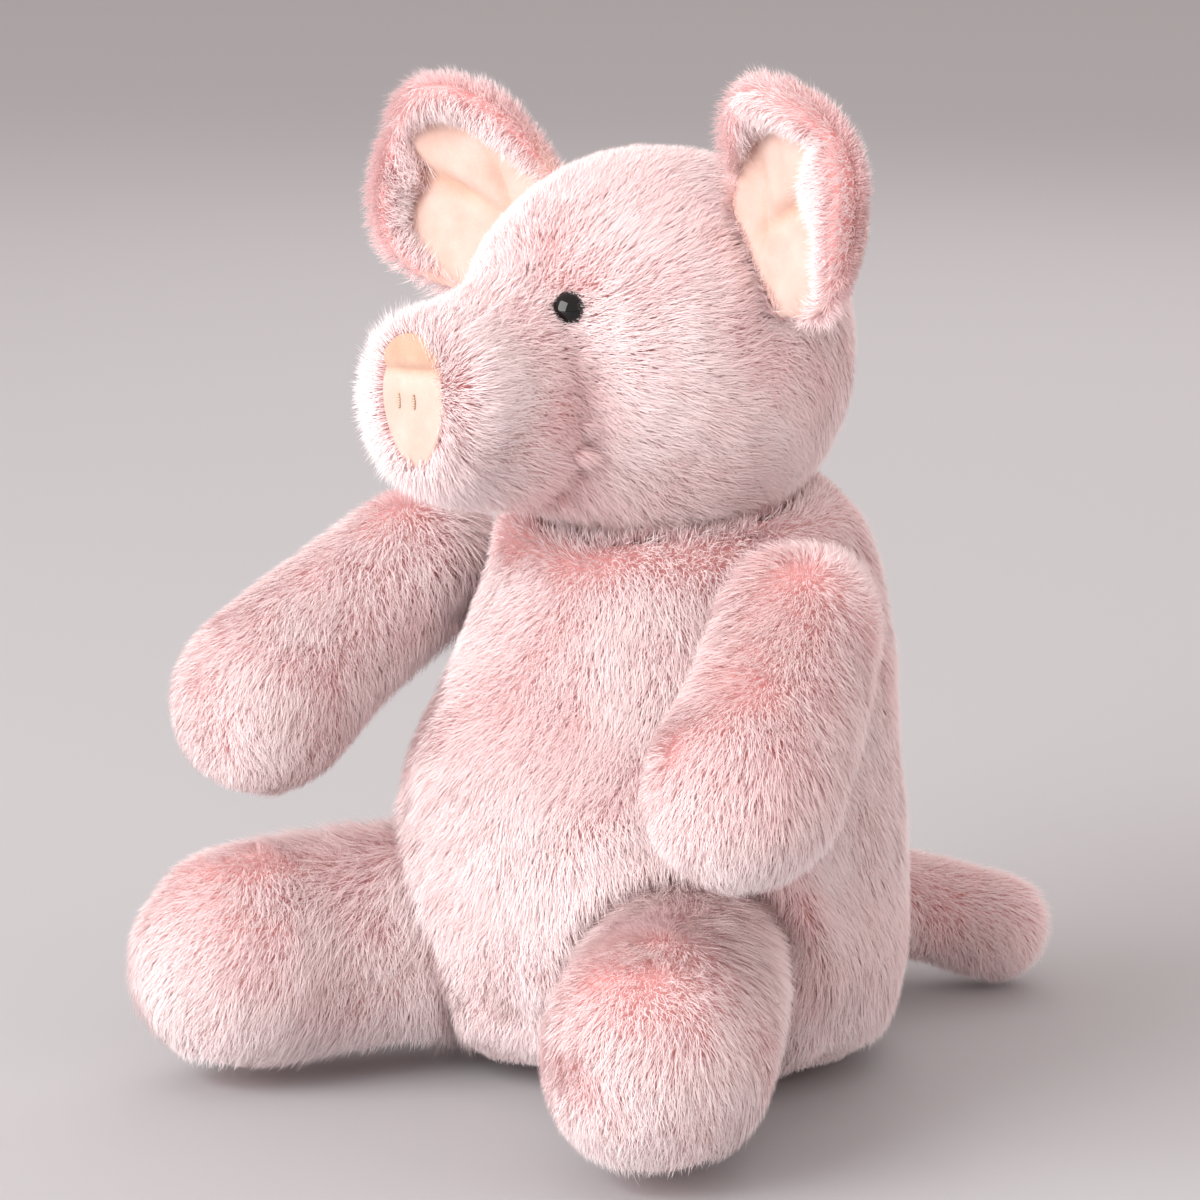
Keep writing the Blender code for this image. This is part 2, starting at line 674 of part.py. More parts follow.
def make_arm(side, sign):
    """Cover and stuffing of one arm, on an empty at the shoulder."""
    shoulder, direction, normal = arm_frame(sign)
    paw = shoulder + direction * ARM_REACH + normal * ARM_SPREAD
    elbow = shoulder + direction * (ARM_REACH / 2) + normal * (ARM_SPREAD * ELBOW_SPREAD_SHARE)
    points = ((shoulder, SHOULDER_RADIUS), (elbow, ELBOW_RADIUS), (paw, PAW_RADIUS))
    stations = smooth_stations(points, TUBE_STATIONS)
    makers = []
    inner = LIMB_WALL + GAP
    for inset, clearance in ((0.0, GAP), (LIMB_WALL, inner), (inner, inner + GAP)):
        maker = skin(tube_rings(stations, inset, True, True))
        point, _ = arm_plane(sign, clearance)
        cut_plane(maker, point, -normal)
        makers.append(maker)
    foot_of_axis = shoulder - normal * SHOULDER_OUT
    top = LIMB_WALL + OVERRUN
    bore = revolved(((SHOULDER_HOLE_RADIUS, -OVERRUN), (SHOULDER_HOLE_RADIUS, top)), LIMB_SIDES)
    bmesh.ops.transform(bore, matrix=Matrix.Translation(foot_of_axis) @ turned(normal), verts=bore.verts)
    finish_limb(f"arm_{side}", makers, bore, shoulder)


def finish_limb(name, makers, bore, pivot):
    """Make a limb's cover and stuffing from its three skins, open at its root, on a pivot."""
    empty = bpy.data.objects.new(name + "_axis", None)
    bpy.context.collection.objects.link(empty)
    empty.location = pivot
    cover = add_object(name + "_cover", makers[0], FINISHES["fur"])
    hollow = add_object(name + "_hollow_guide", makers[1], FINISHES["guide"])
    stuffing = add_object(name + "_stuffing", makers[2], FINISHES["fibre"])
    hole = add_object(name + "_opening_guide", bore, FINISHES["guide"])
    for piece in (cover, hollow, stuffing, hole):
        piece.data.transform(Matrix.Translation(-pivot))
        piece.parent = empty
    cut(cover, [hollow, hole])


def leg_stations(sign):
    """Stations of a leg from its round root to the middle of its foot."""
    root, axis = hip_frame(sign)
    foot = Vector((sign * FOOT_SIDE, -FOOT_FRONT, FOOT_RADIUS - FOOT_FLAT))
    start = root + axis * GAP
    knee = (start + foot) / 2 + axis * (HIP_RADIUS * KNEE_PUSH_SHARE)
    knee.z = THIGH_RADIUS + (HIP_HEIGHT - HIP_RADIUS) / 2
    points = ((start, HIP_RADIUS), (knee, THIGH_RADIUS), (foot, FOOT_RADIUS))
    stations = smooth_stations(points, TUBE_STATIONS)
    squared = []
    for i, (centre, radius, tangent) in enumerate(stations):
        blend = min(1.0, i / 3)
        squared.append((centre, radius, (axis * (1 - blend) + tangent * blend).normalized()))
    return squared


def make_leg(side, sign):
    """Cover and stuffing of one leg, on an empty at the hip, flat where the foot rests."""
    root, axis = hip_frame(sign)
    stations = leg_stations(sign)
    makers = []
    for inset, step in ((0.0, 0.0), (LIMB_WALL, LIMB_WALL), (LIMB_WALL + GAP, LIMB_WALL + GAP)):
        moved = list(stations)
        centre, radius, tangent = moved[0]
        moved[0] = (centre + axis * step, radius, tangent)
        maker = skin(tube_rings(moved, inset, False, True))
        if inset == 0.0:
            cut_plane(maker, Vector((0, 0, 0)), -UP)
        makers.append(maker)
    bore = revolved(((HIP_HOLE_RADIUS, -OVERRUN), (HIP_HOLE_RADIUS, LIMB_WALL + OVERRUN)), LIMB_SIDES)
    bmesh.ops.transform(bore, matrix=Matrix.Translation(root) @ turned(axis), verts=bore.verts)
    finish_limb(f"leg_{side}", makers, bore, root)


# Tail
def tail_root():
    """Middle of the tail's ball root at the back of the body, and the tail's direction."""
    radius, lean = body_section(TAIL_HEIGHT)
    return Vector((0.0, lean + radius - TAIL_ROOT_INSET, TAIL_HEIGHT)), -FRONT


def make_tail():
    """Cover and stuffing of the tail, which drops towards the surface and kinks near its tip."""
    root, direction = tail_root()
    tip = root + direction * TAIL_REACH + ACROSS * TAIL_KINK
    tip.z = TAIL_TIP_RADIUS + TAIL_TIP_LIFT
    bend = root + direction * (TAIL_REACH * TAIL_BEND_REACH_SHARE)
    bend += ACROSS * (TAIL_KINK * TAIL_BEND_SIDE_SHARE)
    bend.z = TAIL_HEIGHT * TAIL_BEND_HEIGHT_SHARE
    points = ((root, TAIL_ROOT_RADIUS), (bend, TAIL_RADIUS), (tip, TAIL_TIP_RADIUS))
    stations = smooth_stations(points, TUBE_STATIONS)
    insets = (0.0, TAIL_WALL, TAIL_WALL + GAP)
    makers = [skin(tube_rings(stations, inset, True, True)) for inset in insets]
    inward = -stations[0][2]
    outer_end = root + inward * TAIL_ROOT_RADIUS
    bore = revolved(((TAIL_HOLE_RADIUS, -TAIL_WALL - OVERRUN), (TAIL_HOLE_RADIUS, OVERRUN)), LIMB_SIDES)
    bmesh.ops.transform(bore, matrix=Matrix.Translation(outer_end) @ turned(inward), verts=bore.verts)
    finish_limb("tail", makers, bore, root)


# Closing seam
def make_closing_stitch():
    """The thread that closes the back of the body, as one zigzag tube."""
    points = []
    for i in range(2 * STITCH_COUNT):
        height = STITCH_BOTTOM + STITCH_PITCH * i / 2
        side = 1 if (i + 1) // 2 % 2 else -1
        radius, lean = body_section(height)
        points.append((side * STITCH_WIDTH / 2, lean + radius + STITCH_RADIUS + GAP, height))
    thread = bpy.data.curves.new("closing_stitch", "CURVE")
    thread.dimensions = "3D"
    thread.bevel_depth = STITCH_RADIUS
    thread.bevel_resolution = 1
    thread.use_fill_caps = True
    spline = thread.splines.new("POLY")
    spline.points.add(len(points) - 1)
    for place, point in zip(spline.points, points):
        place.co = (*point, 1.0)
    made = bpy.data.objects.new("closing_stitch", thread)
    bpy.context.collection.objects.link(made)
    made.data.materials.append(FINISHES["thread_pink"])


FINISHES = {}


def main():
    """Build the toy, the largest pieces first."""
    clear_scene()
    FINISHES["fur"] = material("pink_faux_fur", (0.90, 0.62, 0.62), 0.95)
    FINISHES["velboa"] = material("peach_velboa", (0.95, 0.72, 0.54), 0.9)
    FINISHES["fibre"] = material("polyester_fibre", (0.92, 0.92, 0.90), 1.0)
    FINISHES["pellets"] = material("pellet_bag_cloth", (0.80, 0.78, 0.72), 0.9)
    FINISHES["eye"] = material("black_eye_plastic", (0.01, 0.01, 0.01), 0.08)
    FINISHES["washer"] = material("white_washer_plastic", (0.85, 0.85, 0.83), 0.4)
    FINISHES["thread"] = material("grey_thread", (0.55, 0.50, 0.46), 0.8)
    FINISHES["thread_pink"] = material("pink_thread", (0.85, 0.60, 0.60), 0.8)
    FINISHES["guide"] = material("guide", (0.5, 0.5, 0.5), 1.0)
    make_body()
    neck = head_empty()
    make_head(neck)
    make_eyes(neck)
    make_snout(neck)
    make_ears(neck)
    for side, sign in SIDE_SIGNS:
        make_arm(side, sign)
        make_leg(side, sign)
    make_tail()
    make_closing_stitch()


main()
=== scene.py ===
import math

import bmesh
import bpy
import numpy as np
from mathutils import Matrix, Vector
from mathutils.bvhtree import BVHTree


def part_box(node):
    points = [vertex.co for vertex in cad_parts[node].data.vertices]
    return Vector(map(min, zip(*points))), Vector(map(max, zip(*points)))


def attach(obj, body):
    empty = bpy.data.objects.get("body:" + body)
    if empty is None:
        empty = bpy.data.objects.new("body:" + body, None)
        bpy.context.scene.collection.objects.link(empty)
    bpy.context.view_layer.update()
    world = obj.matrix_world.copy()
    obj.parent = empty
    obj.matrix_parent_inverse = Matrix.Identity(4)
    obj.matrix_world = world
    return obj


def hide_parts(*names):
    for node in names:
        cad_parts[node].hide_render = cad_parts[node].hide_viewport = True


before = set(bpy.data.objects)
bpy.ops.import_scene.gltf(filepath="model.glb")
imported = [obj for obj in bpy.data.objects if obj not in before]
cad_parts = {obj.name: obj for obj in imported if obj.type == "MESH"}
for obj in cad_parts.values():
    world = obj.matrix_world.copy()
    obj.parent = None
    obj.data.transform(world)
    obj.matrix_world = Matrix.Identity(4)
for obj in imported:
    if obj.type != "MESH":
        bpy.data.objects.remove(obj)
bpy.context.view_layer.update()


# Camera, floor and light.
# A long lens looks down a little on the toy from its left front, as a product photograph does.
# The floor is a plain pale sheet, and one large soft lamp from the left does most of the lighting.
def linear(code, alpha=1.0):
    """An sRGB hex colour as linear values."""
    parts = [int(code[i:i + 2], 16) / 255 for i in (1, 3, 5)]
    parts = [c / 12.92 if c <= 0.04045 else ((c + 0.055) / 1.055) ** 2.4 for c in parts]
    return (*parts, alpha)


def add_node(tree, kind, inputs=None, **settings):
    """Add one node with its settings, and link or set its inputs."""
    made = tree.nodes.new(kind)
    for key, value in settings.items():
        setattr(made, key, value)
    for key, value in (inputs or {}).items():
        if isinstance(value, bpy.types.NodeSocket):
            tree.links.new(value, made.inputs[key])
        else:
            made.inputs[key].default_value = value
    return made


def ramp(tree, factor, stops):
    """A colour ramp node with (place, hex colour) stops."""
    made = add_node(tree, "ShaderNodeValToRGB", {"Fac": factor})
    band = made.color_ramp
    while len(band.elements) < len(stops):
        band.elements.new(0.5)
    for element, (place, code) in zip(band.elements, stops):
        element.position = place
        element.color = linear(code)
    return made.outputs["Color"]


def new_material(name):
    """An empty Principled material: its tree and its shader."""
    made = bpy.data.materials.new(name)
    made.use_nodes = True
    return made, made.node_tree, made.node_tree.nodes["Principled BSDF"]


def link_object(name, mesh):
    """A mesh as a named object in the scene."""
    made = bpy.data.objects.new(name, mesh)
    bpy.context.collection.objects.link(made)
    return made


VIEW_AZIMUTH = math.radians(40)
VIEW_ELEVATION = math.radians(11.5)
VIEW_DISTANCE = 1.9
VIEW_TARGET = Vector((0, 0, 0.165))
VIEW_LENS = 154
VIEW_SLIDE = (-0.01776, 0.01036)

back = Vector((
    math.sin(VIEW_AZIMUTH) * math.cos(VIEW_ELEVATION),
    -math.cos(VIEW_AZIMUTH) * math.cos(VIEW_ELEVATION),
    math.sin(VIEW_ELEVATION),
))
right = Vector((math.cos(VIEW_AZIMUTH), math.sin(VIEW_AZIMUTH), 0))
lift = back.cross(right)
camera_data = bpy.data.cameras.new("camera")
camera_data.lens = VIEW_LENS
camera_data.sensor_width = 36
camera_data.clip_start = 0.05
camera_data.clip_end = 20
camera = bpy.data.objects.new("camera", camera_data)
bpy.context.collection.objects.link(camera)
camera.location = VIEW_TARGET + back * VIEW_DISTANCE + right * VIEW_SLIDE[0] + lift * VIEW_SLIDE[1]
camera.rotation_mode = "QUATERNION"
camera.rotation_quaternion = (-back).to_track_quat("-Z", "Y")
bpy.context.scene.camera = camera
bpy.context.scene.view_settings.view_transform = "Standard"

FLOOR_HALF = 12.0
floor_mesh = bpy.data.meshes.new("floor")
floor_corners = [(x * FLOOR_HALF, y * FLOOR_HALF, 0) for x, y in ((-1, -1), (1, -1), (1, 1), (-1, 1))]
floor_mesh.from_pydata(floor_corners, [], [(0, 1, 2, 3)])
floor = link_object("floor", floor_mesh)
floor_paint, floor_tree, floor_shader = new_material("matt_floor_paint")
floor_shader.inputs["Base Color"].default_value = linear("#BDBEC1")
floor_shader.inputs["Roughness"].default_value = 0.9
floor_shader.inputs["Specular IOR Level"].default_value = 0.15
floor_mesh.materials.append(floor_paint)

world = bpy.data.worlds.new("studio")
world.use_nodes = True
bpy.context.scene.world = world
sky = world.node_tree.nodes["Background"]
sky.inputs["Color"].default_value = linear("#FFF0ED")
sky.inputs["Strength"].default_value = 0.72


def soft_lamp(name, place, size, power, code):
    """A square area lamp that looks at the toy."""
    data = bpy.data.lights.new(name, "AREA")
    data.size = size
    data.energy = power
    data.color = linear(code)[:3]
    lamp = bpy.data.objects.new(name, data)
    bpy.context.collection.objects.link(lamp)
    lamp.location = place
    lamp.rotation_mode = "QUATERNION"
    lamp.rotation_quaternion = (VIEW_TARGET - Vector(place)).to_track_quat("-Z", "Y")


soft_lamp("window_lamp", VIEW_TARGET - right * 2.46 + back * 1.7 + Vector((0, 0, 0.94)), 2.7, 136, "#FFFEFD")
soft_lamp("fill_lamp", VIEW_TARGET + right * 1.6 + back * 0.8 + Vector((0, 0, 0.5)), 1.2, 5, "#FFF8F4")
soft_lamp("back_lamp", VIEW_TARGET - back * 1.9 + right * 0.5 + Vector((0, 0, 1.9)), 2.0, 13, "#FFFAF8")


# Body.
# A pear-shaped bag of knitted cloth with a long, dense pile, sewn inside out, turned and stuffed with
# polyester fibre. The pile is pale at its tips and rose at its roots, and it is brushed downwards.
def outside_of(node_names, middle, reach=0.5):
    """A closed surface over CAD solids, found by rays from all round towards a middle point."""
    points, faces = [], []
    for node_name in node_names:
        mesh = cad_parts[node_name].data
        mesh.calc_loop_triangles()
        first = len(points)
        points += [v.co.copy() for v in mesh.vertices]
        faces += [[first + i for i in t.vertices] for t in mesh.loop_triangles]
    solids = BVHTree.FromPolygons(points, faces)
    maker = bmesh.new()
    bmesh.ops.create_icosphere(maker, subdivisions=6, radius=1.0)
    for v in maker.verts:
        way = v.co.normalized()
        hit = solids.ray_cast(middle + way * reach, -way)[0]
        v.co = hit if hit else middle + way * 0.001
    return maker


def remeshed(name, maker, voxel):
    """An object with evenly spread faces in the shape of a closed surface."""
    mesh = bpy.data.meshes.new(name)
    maker.to_mesh(mesh)
    maker.free()
    made = link_object(name, mesh)
    step = made.modifiers.new("even_faces", "REMESH")
    step.mode = "VOXEL"
    step.voxel_size = voxel
    bake_modifiers(made)
    return made


def bake_modifiers(thing):
    """Replace an object's mesh by what its modifiers make of it."""
    graph = bpy.context.evaluated_depsgraph_get()
    graph.update()
    mesh = bpy.data.meshes.new_from_object(thing.evaluated_get(graph))
    thing.modifiers.clear()
    old = thing.data
    thing.data = mesh
    bpy.data.meshes.remove(old)
    mesh.name = thing.name


def smooth(maker, verts, factor, rounds=1):
    """Smooth some vertices of a mesh, a number of times."""
    for _ in range(rounds):
        bmesh.ops.smooth_vert(
            maker, verts=verts, factor=factor, use_axis_x=True, use_axis_y=True, use_axis_z=True)


def drawn_in(thing, depth, smoothing, steps=4):
    """Smooth a skin and draw it in by a depth, to leave room for its pile."""
    maker = bmesh.new()
    maker.from_mesh(thing.data)
    smooth(maker, maker.verts, 0.5, smoothing)
    maker.normal_update()
    for _ in range(steps):
        moves = [(v, v.normal * (depth / steps)) for v in maker.verts]
        for v, move in moves:
            v.co -= move
        smooth(maker, maker.verts, 0.4)
        maker.normal_update()
    maker.to_mesh(thing.data)
    maker.free()


def with_normals(thing):
    """A skin's vertices, each with its normal as it is before any of them moves."""
    return [(v, v.normal.copy()) for v in thing.data.vertices]


CLOTH_FRAMES = 20


def stuffed(thing, pressure, most):
    """Fill a skin with stuffing: cloth under pressure, whose points move no further than a most."""
    start = [v.co.copy() for v in thing.data.vertices]
    cloth = thing.modifiers.new("stuffing", "CLOTH")
    cloth.settings.use_pressure = True
    cloth.settings.uniform_pressure_force = pressure
    cloth.settings.effector_weights.gravity = 0
    cloth.settings.quality = 4
    cloth.settings.tension_stiffness = 20
    cloth.settings.compression_stiffness = 8
    scene = bpy.context.scene
    for step in range(1, CLOTH_FRAMES + 1):
        scene.frame_set(step)
    bake_modifiers(thing)
    scene.frame_set(1)
    for v, old in zip(thing.data.vertices, start):
        move = v.co - old
        if move.length > most:
            v.co = old + move * (most / move.length)
    thing.modifiers.new("finer", "SUBSURF").levels = 1
    thing.modifiers["finer"].render_levels = 1
    bake_modifiers(thing)
    thing.data.shade_smooth()


def combed(thing, way, cover=None, pile=None, blush=None):
    """Store on a skin which way its pile lies, how densely it grows, how long it is and how rose it looks; that tone
    carries painted shade and painted light.
    """
    mesh = thing.data
    count = len(mesh.vertices)
    comb = np.zeros((count, 3))
    dense = np.ones(count)
    long = np.ones(count)
    rose = np.zeros(count)
    for i, v in enumerate(mesh.vertices):
        lie = way(v.co, v.normal)
        comb[i] = lie - v.normal * v.normal.dot(lie)
        if cover:
            dense[i] = cover(v.co, v.normal)
        if pile:
            long[i] = pile(v.co, v.normal)
        if blush:
            rose[i] = blush(v.co, v.normal)
    mesh.attributes.new("comb", "FLOAT_VECTOR", "POINT").data.foreach_set("vector", comb.ravel())
    mesh.attributes.new("cover", "FLOAT", "POINT").data.foreach_set("value", dense)
    mesh.attributes.new("pile", "FLOAT", "POINT").data.foreach_set("value", long)
    mesh.attributes.new("blush", "FLOAT", "POINT").data.foreach_set("value", rose)


def strand_blade():
    """One strand of the pile: X is its side, Y how far it leans and Z how far it rises."""
    mesh = bpy.data.meshes.new("strand_blade")
    mesh.from_pydata(
        [(0, 0, -0.06), (-0.5, 0.42, 0.68), (0.5, 0.42, 0.68), (0, 1, 1)],
        [],
        [(0, 2, 1), (1, 2, 3)],
    )
    mesh.attributes.new("along", "FLOAT", "POINT").data.foreach_set("value", [0.03, 0.60, 0.60, 0.97])
    made = link_object("strand_blade", mesh)
    made.hide_render = True
    made.hide_viewport = True
    return made


def pile_tree():
    """Geometry nodes that grow a pile of strands on a skin, in tufts, along its combed direction."""
    tree = bpy.data.node_groups.new("pile_strands", "GeometryNodeTree")
    face = tree.interface
    face.new_socket("Geometry", in_out="INPUT", socket_type="NodeSocketGeometry")
    for name, kind in (
        ("Blade", "NodeSocketObject"), ("Strands per square metre", "NodeSocketFloat"),
        ("Height", "NodeSocketFloat"), ("Lean", "NodeSocketFloat"), ("Width", "NodeSocketFloat"),
        ("Tuft size", "NodeSocketFloat"), ("Tuft pull", "NodeSocketFloat"), ("Swirl", "NodeSocketFloat"),
        ("Stray", "NodeSocketFloat"), ("Seed", "NodeSocketInt"), ("Material", "NodeSocketMaterial"),
    ):
        face.new_socket(name, in_out="INPUT", socket_type=kind)
    face.new_socket("Geometry", in_out="OUTPUT", socket_type="NodeSocketGeometry")
    given = add_node(tree, "NodeGroupInput").outputs

    def named(name, kind):
        return add_node(tree, "GeometryNodeInputNamedAttribute", {"Name": name}, data_type=kind).outputs["Attribute"]

    def maths(operation, a, b=0.0, c=0.0):
        return add_node(tree, "ShaderNodeMath", {0: a, 1: b, 2: c}, operation=operation).outputs[0]

    def vector(operation, a, b=None, scale=None):
        inputs = {0: a}
        if b is not None:
            inputs[1] = b
        if scale is not None:
            inputs["Scale"] = scale
        made = add_node(tree, "ShaderNodeVectorMath", inputs, operation=operation)
        return made.outputs["Value" if operation in ("DOT_PRODUCT", "LENGTH") else "Vector"]

    def store(geometry, name, kind, domain, value):
        made = add_node(
            tree, "GeometryNodeStoreNamedAttribute",
            {"Geometry": geometry, "Name": name, "Value": value}, data_type=kind, domain=domain)
        return made.outputs["Geometry"]

    def flattened(v, normal):
        return vector("SUBTRACT", v, vector("SCALE", normal, scale=vector("DOT_PRODUCT", v, normal)))

    density = maths("MULTIPLY", given["Strands per square metre"], named("cover", "FLOAT"))
    spread = add_node(
        tree, "GeometryNodeDistributePointsOnFaces",
        {"Mesh": given["Geometry"], "Density": density, "Seed": given["Seed"]})
    normal = spread.outputs["Normal"]
    place = add_node(tree, "GeometryNodeInputPosition").outputs[0]
    later = maths("ADD", given["Seed"], 7.0)
    spin = add_node(
        tree, "FunctionNodeRandomValue",
        {"Min": (-1, -1, -1), "Max": (1, 1, 1), "Seed": given["Seed"]}, data_type="FLOAT_VECTOR").outputs["Value"]
    dice = add_node(
        tree, "FunctionNodeRandomValue",
        {"Min": (0, 0, 0), "Max": (1, 1, 1), "Seed": later}, data_type="FLOAT_VECTOR").outputs["Value"]
    dice = add_node(tree, "ShaderNodeSeparateXYZ", {0: dice}).outputs
    tuft = add_node(
        tree, "ShaderNodeTexVoronoi",
        {"Vector": place, "Scale": maths("DIVIDE", 1.0, given["Tuft size"])}, feature="F1")
    tuft_dice = add_node(tree, "ShaderNodeSeparateXYZ", {0: tuft.outputs["Color"]}).outputs
    pull = vector("SCALE", flattened(vector("SUBTRACT", tuft.outputs["Position"], place), normal),
                  scale=given["Tuft pull"])
    broad = add_node(
        tree, "ShaderNodeTexNoise",
        {"Vector": place, "Scale": maths("DIVIDE", 0.22, given["Tuft size"]), "Detail": 2.0})
    swirl = flattened(vector("SUBTRACT", broad.outputs["Color"], (0.5, 0.5, 0.5)), normal)
    comb = vector("ADD", named("comb", "FLOAT_VECTOR"), vector("SCALE", swirl, scale=given["Swirl"]))
    reach = maths("MULTIPLY", given["Lean"], maths("MULTIPLY_ADD", dice[0], 0.5, 0.7))
    lean = vector("ADD", vector("SCALE", comb, scale=reach), pull)
    stray = flattened(vector("SCALE", spin, scale=given["Stray"]), normal)
    lean = vector("ADD", lean, stray)
    size = maths("MULTIPLY_ADD", dice[1], 0.32, maths("MULTIPLY_ADD", tuft_dice[0], 0.16, 0.74))
    size = maths("MULTIPLY", size, named("pile", "FLOAT"))
    lean = vector("SCALE", lean, scale=named("pile", "FLOAT"))
    rise = vector("SCALE", normal, scale=maths("MULTIPLY", given["Height"], size))
    across = vector("NORMALIZE", vector("CROSS_PRODUCT", lean, normal))
    twist = add_node(tree, "ShaderNodeSeparateXYZ", {0: spin}).outputs[2]
    across = vector("NORMALIZE", vector("ADD", across, vector("SCALE", normal, scale=maths("MULTIPLY", twist, 0.5))))
    across = vector("SCALE", across, scale=given["Width"])
    mottle = maths("MULTIPLY_ADD", broad.outputs["Fac"], 1.5, -0.75)
    tint = maths("ADD", maths("MULTIPLY_ADD", dice[2], 0.36, 0.50), maths("MULTIPLY", tuft_dice[1], 0.16))
    # Taking off the skin's tone attribute makes strands rosier where painted shade lies and paler where painted light
    # lies.
    tint = maths("SUBTRACT", maths("ADD", tint, mottle), named("blush", "FLOAT"))
    tint = maths("MINIMUM", maths("MAXIMUM", tint, 0.04), 0.96)

    grown = spread.outputs["Points"]
    grown = store(grown, "root", "FLOAT_VECTOR", "POINT", place)
    grown = store(grown, "rise", "FLOAT_VECTOR", "POINT", rise)
    grown = store(grown, "lean", "FLOAT_VECTOR", "POINT", lean)
    grown = store(grown, "across", "FLOAT_VECTOR", "POINT", across)
    grown = store(grown, "tint", "FLOAT", "POINT", tint)
    soft = vector("NORMALIZE", vector("ADD", normal, vector("SCALE", spin, scale=0.25)))
    grown = store(grown, "soft", "FLOAT_VECTOR", "POINT", soft)
    blade = add_node(tree, "GeometryNodeObjectInfo", {"Object": given["Blade"]}, transform_space="ORIGINAL")
    placed = add_node(
        tree, "GeometryNodeInstanceOnPoints", {"Points": grown, "Instance": blade.outputs["Geometry"]})
    solid = add_node(tree, "GeometryNodeRealizeInstances", {"Geometry": placed.outputs["Instances"]}).outputs[0]
    root = named("root", "FLOAT_VECTOR")
    local = add_node(tree, "ShaderNodeSeparateXYZ", {0: vector("SUBTRACT", place, root)}).outputs
    bent = vector("ADD", root, vector("SCALE", named("across", "FLOAT_VECTOR"), scale=local[0]))
    bent = vector("ADD", bent, vector("SCALE", named("lean", "FLOAT_VECTOR"), scale=local[1]))
    bent = vector("ADD", bent, vector("SCALE", named("rise", "FLOAT_VECTOR"), scale=local[2]))
    solid = add_node(tree, "GeometryNodeSetPosition", {"Geometry": solid, "Position": bent}).outputs[0]
    solid = add_node(
        tree, "GeometryNodeSetMeshNormal", {"Mesh": solid, "Custom Normal": named("soft", "FLOAT_VECTOR")},
        mode="FREE", domain="POINT").outputs[0]
    chart = add_node(tree, "ShaderNodeCombineXYZ", {0: named("along", "FLOAT"), 1: named("tint", "FLOAT")})
    solid = store(solid, "OFBake", "FLOAT2", "CORNER", chart.outputs[0])
    solid = add_node(tree, "GeometryNodeSetMaterial", {"Geometry": solid, "Material": given["Material"]})
    add_node(tree, "NodeGroupOutput", {"Geometry": solid.outputs[0]})
    return tree


blade = strand_blade()
pile_nodes = pile_tree()
pile_sockets = {
    item.name: item.identifier for item in pile_nodes.interface.items_tree if item.in_out == "INPUT"
}

# Knitted backing of the faux fur, dyed rose: matt, and only seen between the strands.
backing, tree, shader = new_material("rose_knitted_backing")
where = add_node(tree, "ShaderNodeTexCoord").outputs["Object"]
patches = add_node(tree, "ShaderNodeTexNoise", {"Vector": where, "Scale": 60.0, "Detail": 3.0})
tree.links.new(ramp(tree, patches.outputs["Fac"], ((0.3, "#EBA6A4"), (0.7, "#F1BBB9"))), shader.inputs["Base Color"])
knit = add_node(tree, "ShaderNodeTexNoise", {"Vector": where, "Scale": 900.0, "Detail": 2.0})
bump = add_node(tree, "ShaderNodeBump", {"Height": knit.outputs["Fac"], "Strength": 0.5, "Distance": 0.0006})
tree.links.new(bump.outputs["Normal"], shader.inputs["Normal"])
shader.inputs["Roughness"].default_value = 0.95
shader.inputs["Specular IOR Level"].default_value = 0.1

# Acrylic pile, tip-dyed: rose at the root and almost white at the tip, with a soft low shine.
pile_finish, tree, shader = new_material("pink_acrylic_pile")
chart = add_node(tree, "ShaderNodeUVMap", uv_map="OFBake").outputs["UV"]
chart = add_node(tree, "ShaderNodeSeparateXYZ", {0: chart}).outputs
deep = ramp(tree, chart[0], ((0.0, "#E59E9D"), (0.25, "#EFB5B4"), (0.6, "#F8D0D0"), (1.0, "#FBE1E1")))
pale = ramp(tree, chart[0], ((0.0, "#F3C3C2"), (0.25, "#FAD9D9"), (0.6, "#FEEBEC"), (1.0, "#FFF8F8")))
mixed = add_node(tree, "ShaderNodeMix", {"Factor": chart[1], 6: deep, 7: pale}, data_type="RGBA")
tree.links.new(mixed.outputs[2], shader.inputs["Base Color"])
shader.inputs["Roughness"].default_value = 0.65
shader.inputs["Specular IOR Level"].default_value = 0.25
shader.inputs["Sheen Weight"].default_value = 0.6
shader.inputs["Sheen Roughness"].default_value = 0.4
shader.inputs["Sheen Tint"].default_value = linear("#FFE9E6")


def grow_pile(name, skin, body, seed, strands=2.5e6, height=0.0058, lean=0.0088, keep=None, **more):
    """Grow the pile of one panel of a skin as a plain mesh, and make it ride on a body."""
    maker = bmesh.new()
    maker.from_mesh(skin.data)
    if keep:
        bmesh.ops.delete(
            maker, geom=[f for f in maker.faces if not keep(f.calc_center_median())], context="FACES")
    mesh = bpy.data.meshes.new(name)
    maker.to_mesh(mesh)
    maker.free()
    made = link_object(name, mesh)
    step = made.modifiers.new("pile", "NODES")
    step.node_group = pile_nodes
    values = {
        "Blade": blade, "Strands per square metre": strands, "Height": height, "Lean": lean,
        "Width": 0.00029, "Tuft size": 0.008, "Tuft pull": 0.10, "Swirl": 2.2, "Stray": 0.0036,
        "Seed": seed, "Material": pile_finish,
    }
    values.update(more)
    for key, value in values.items():
        step[pile_sockets[key]] = value
    bake_modifiers(made)
    for spare in ("root", "rise", "lean", "across", "tint", "along", "comb", "cover", "pile", "blush", "soft"):
        if spare in made.data.attributes:
            made.data.attributes.remove(made.data.attributes[spare])
    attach(made, body)
    return made


BODY_MIDDLE = Vector((0, 0.012, 0.108))
BODY_PILE_DEPTH = 0.0055
NECK_CENTRE = Vector((0, 0.004, 0.270))
NECK_RADIUS = 0.074
NECK_NEAR = 0.022
THIGH_WAY = (0.534, -0.845)
THIGH_LENGTH = 0.08
THIGH_RADIUS = 0.044
THIGH_NEAR = 0.014

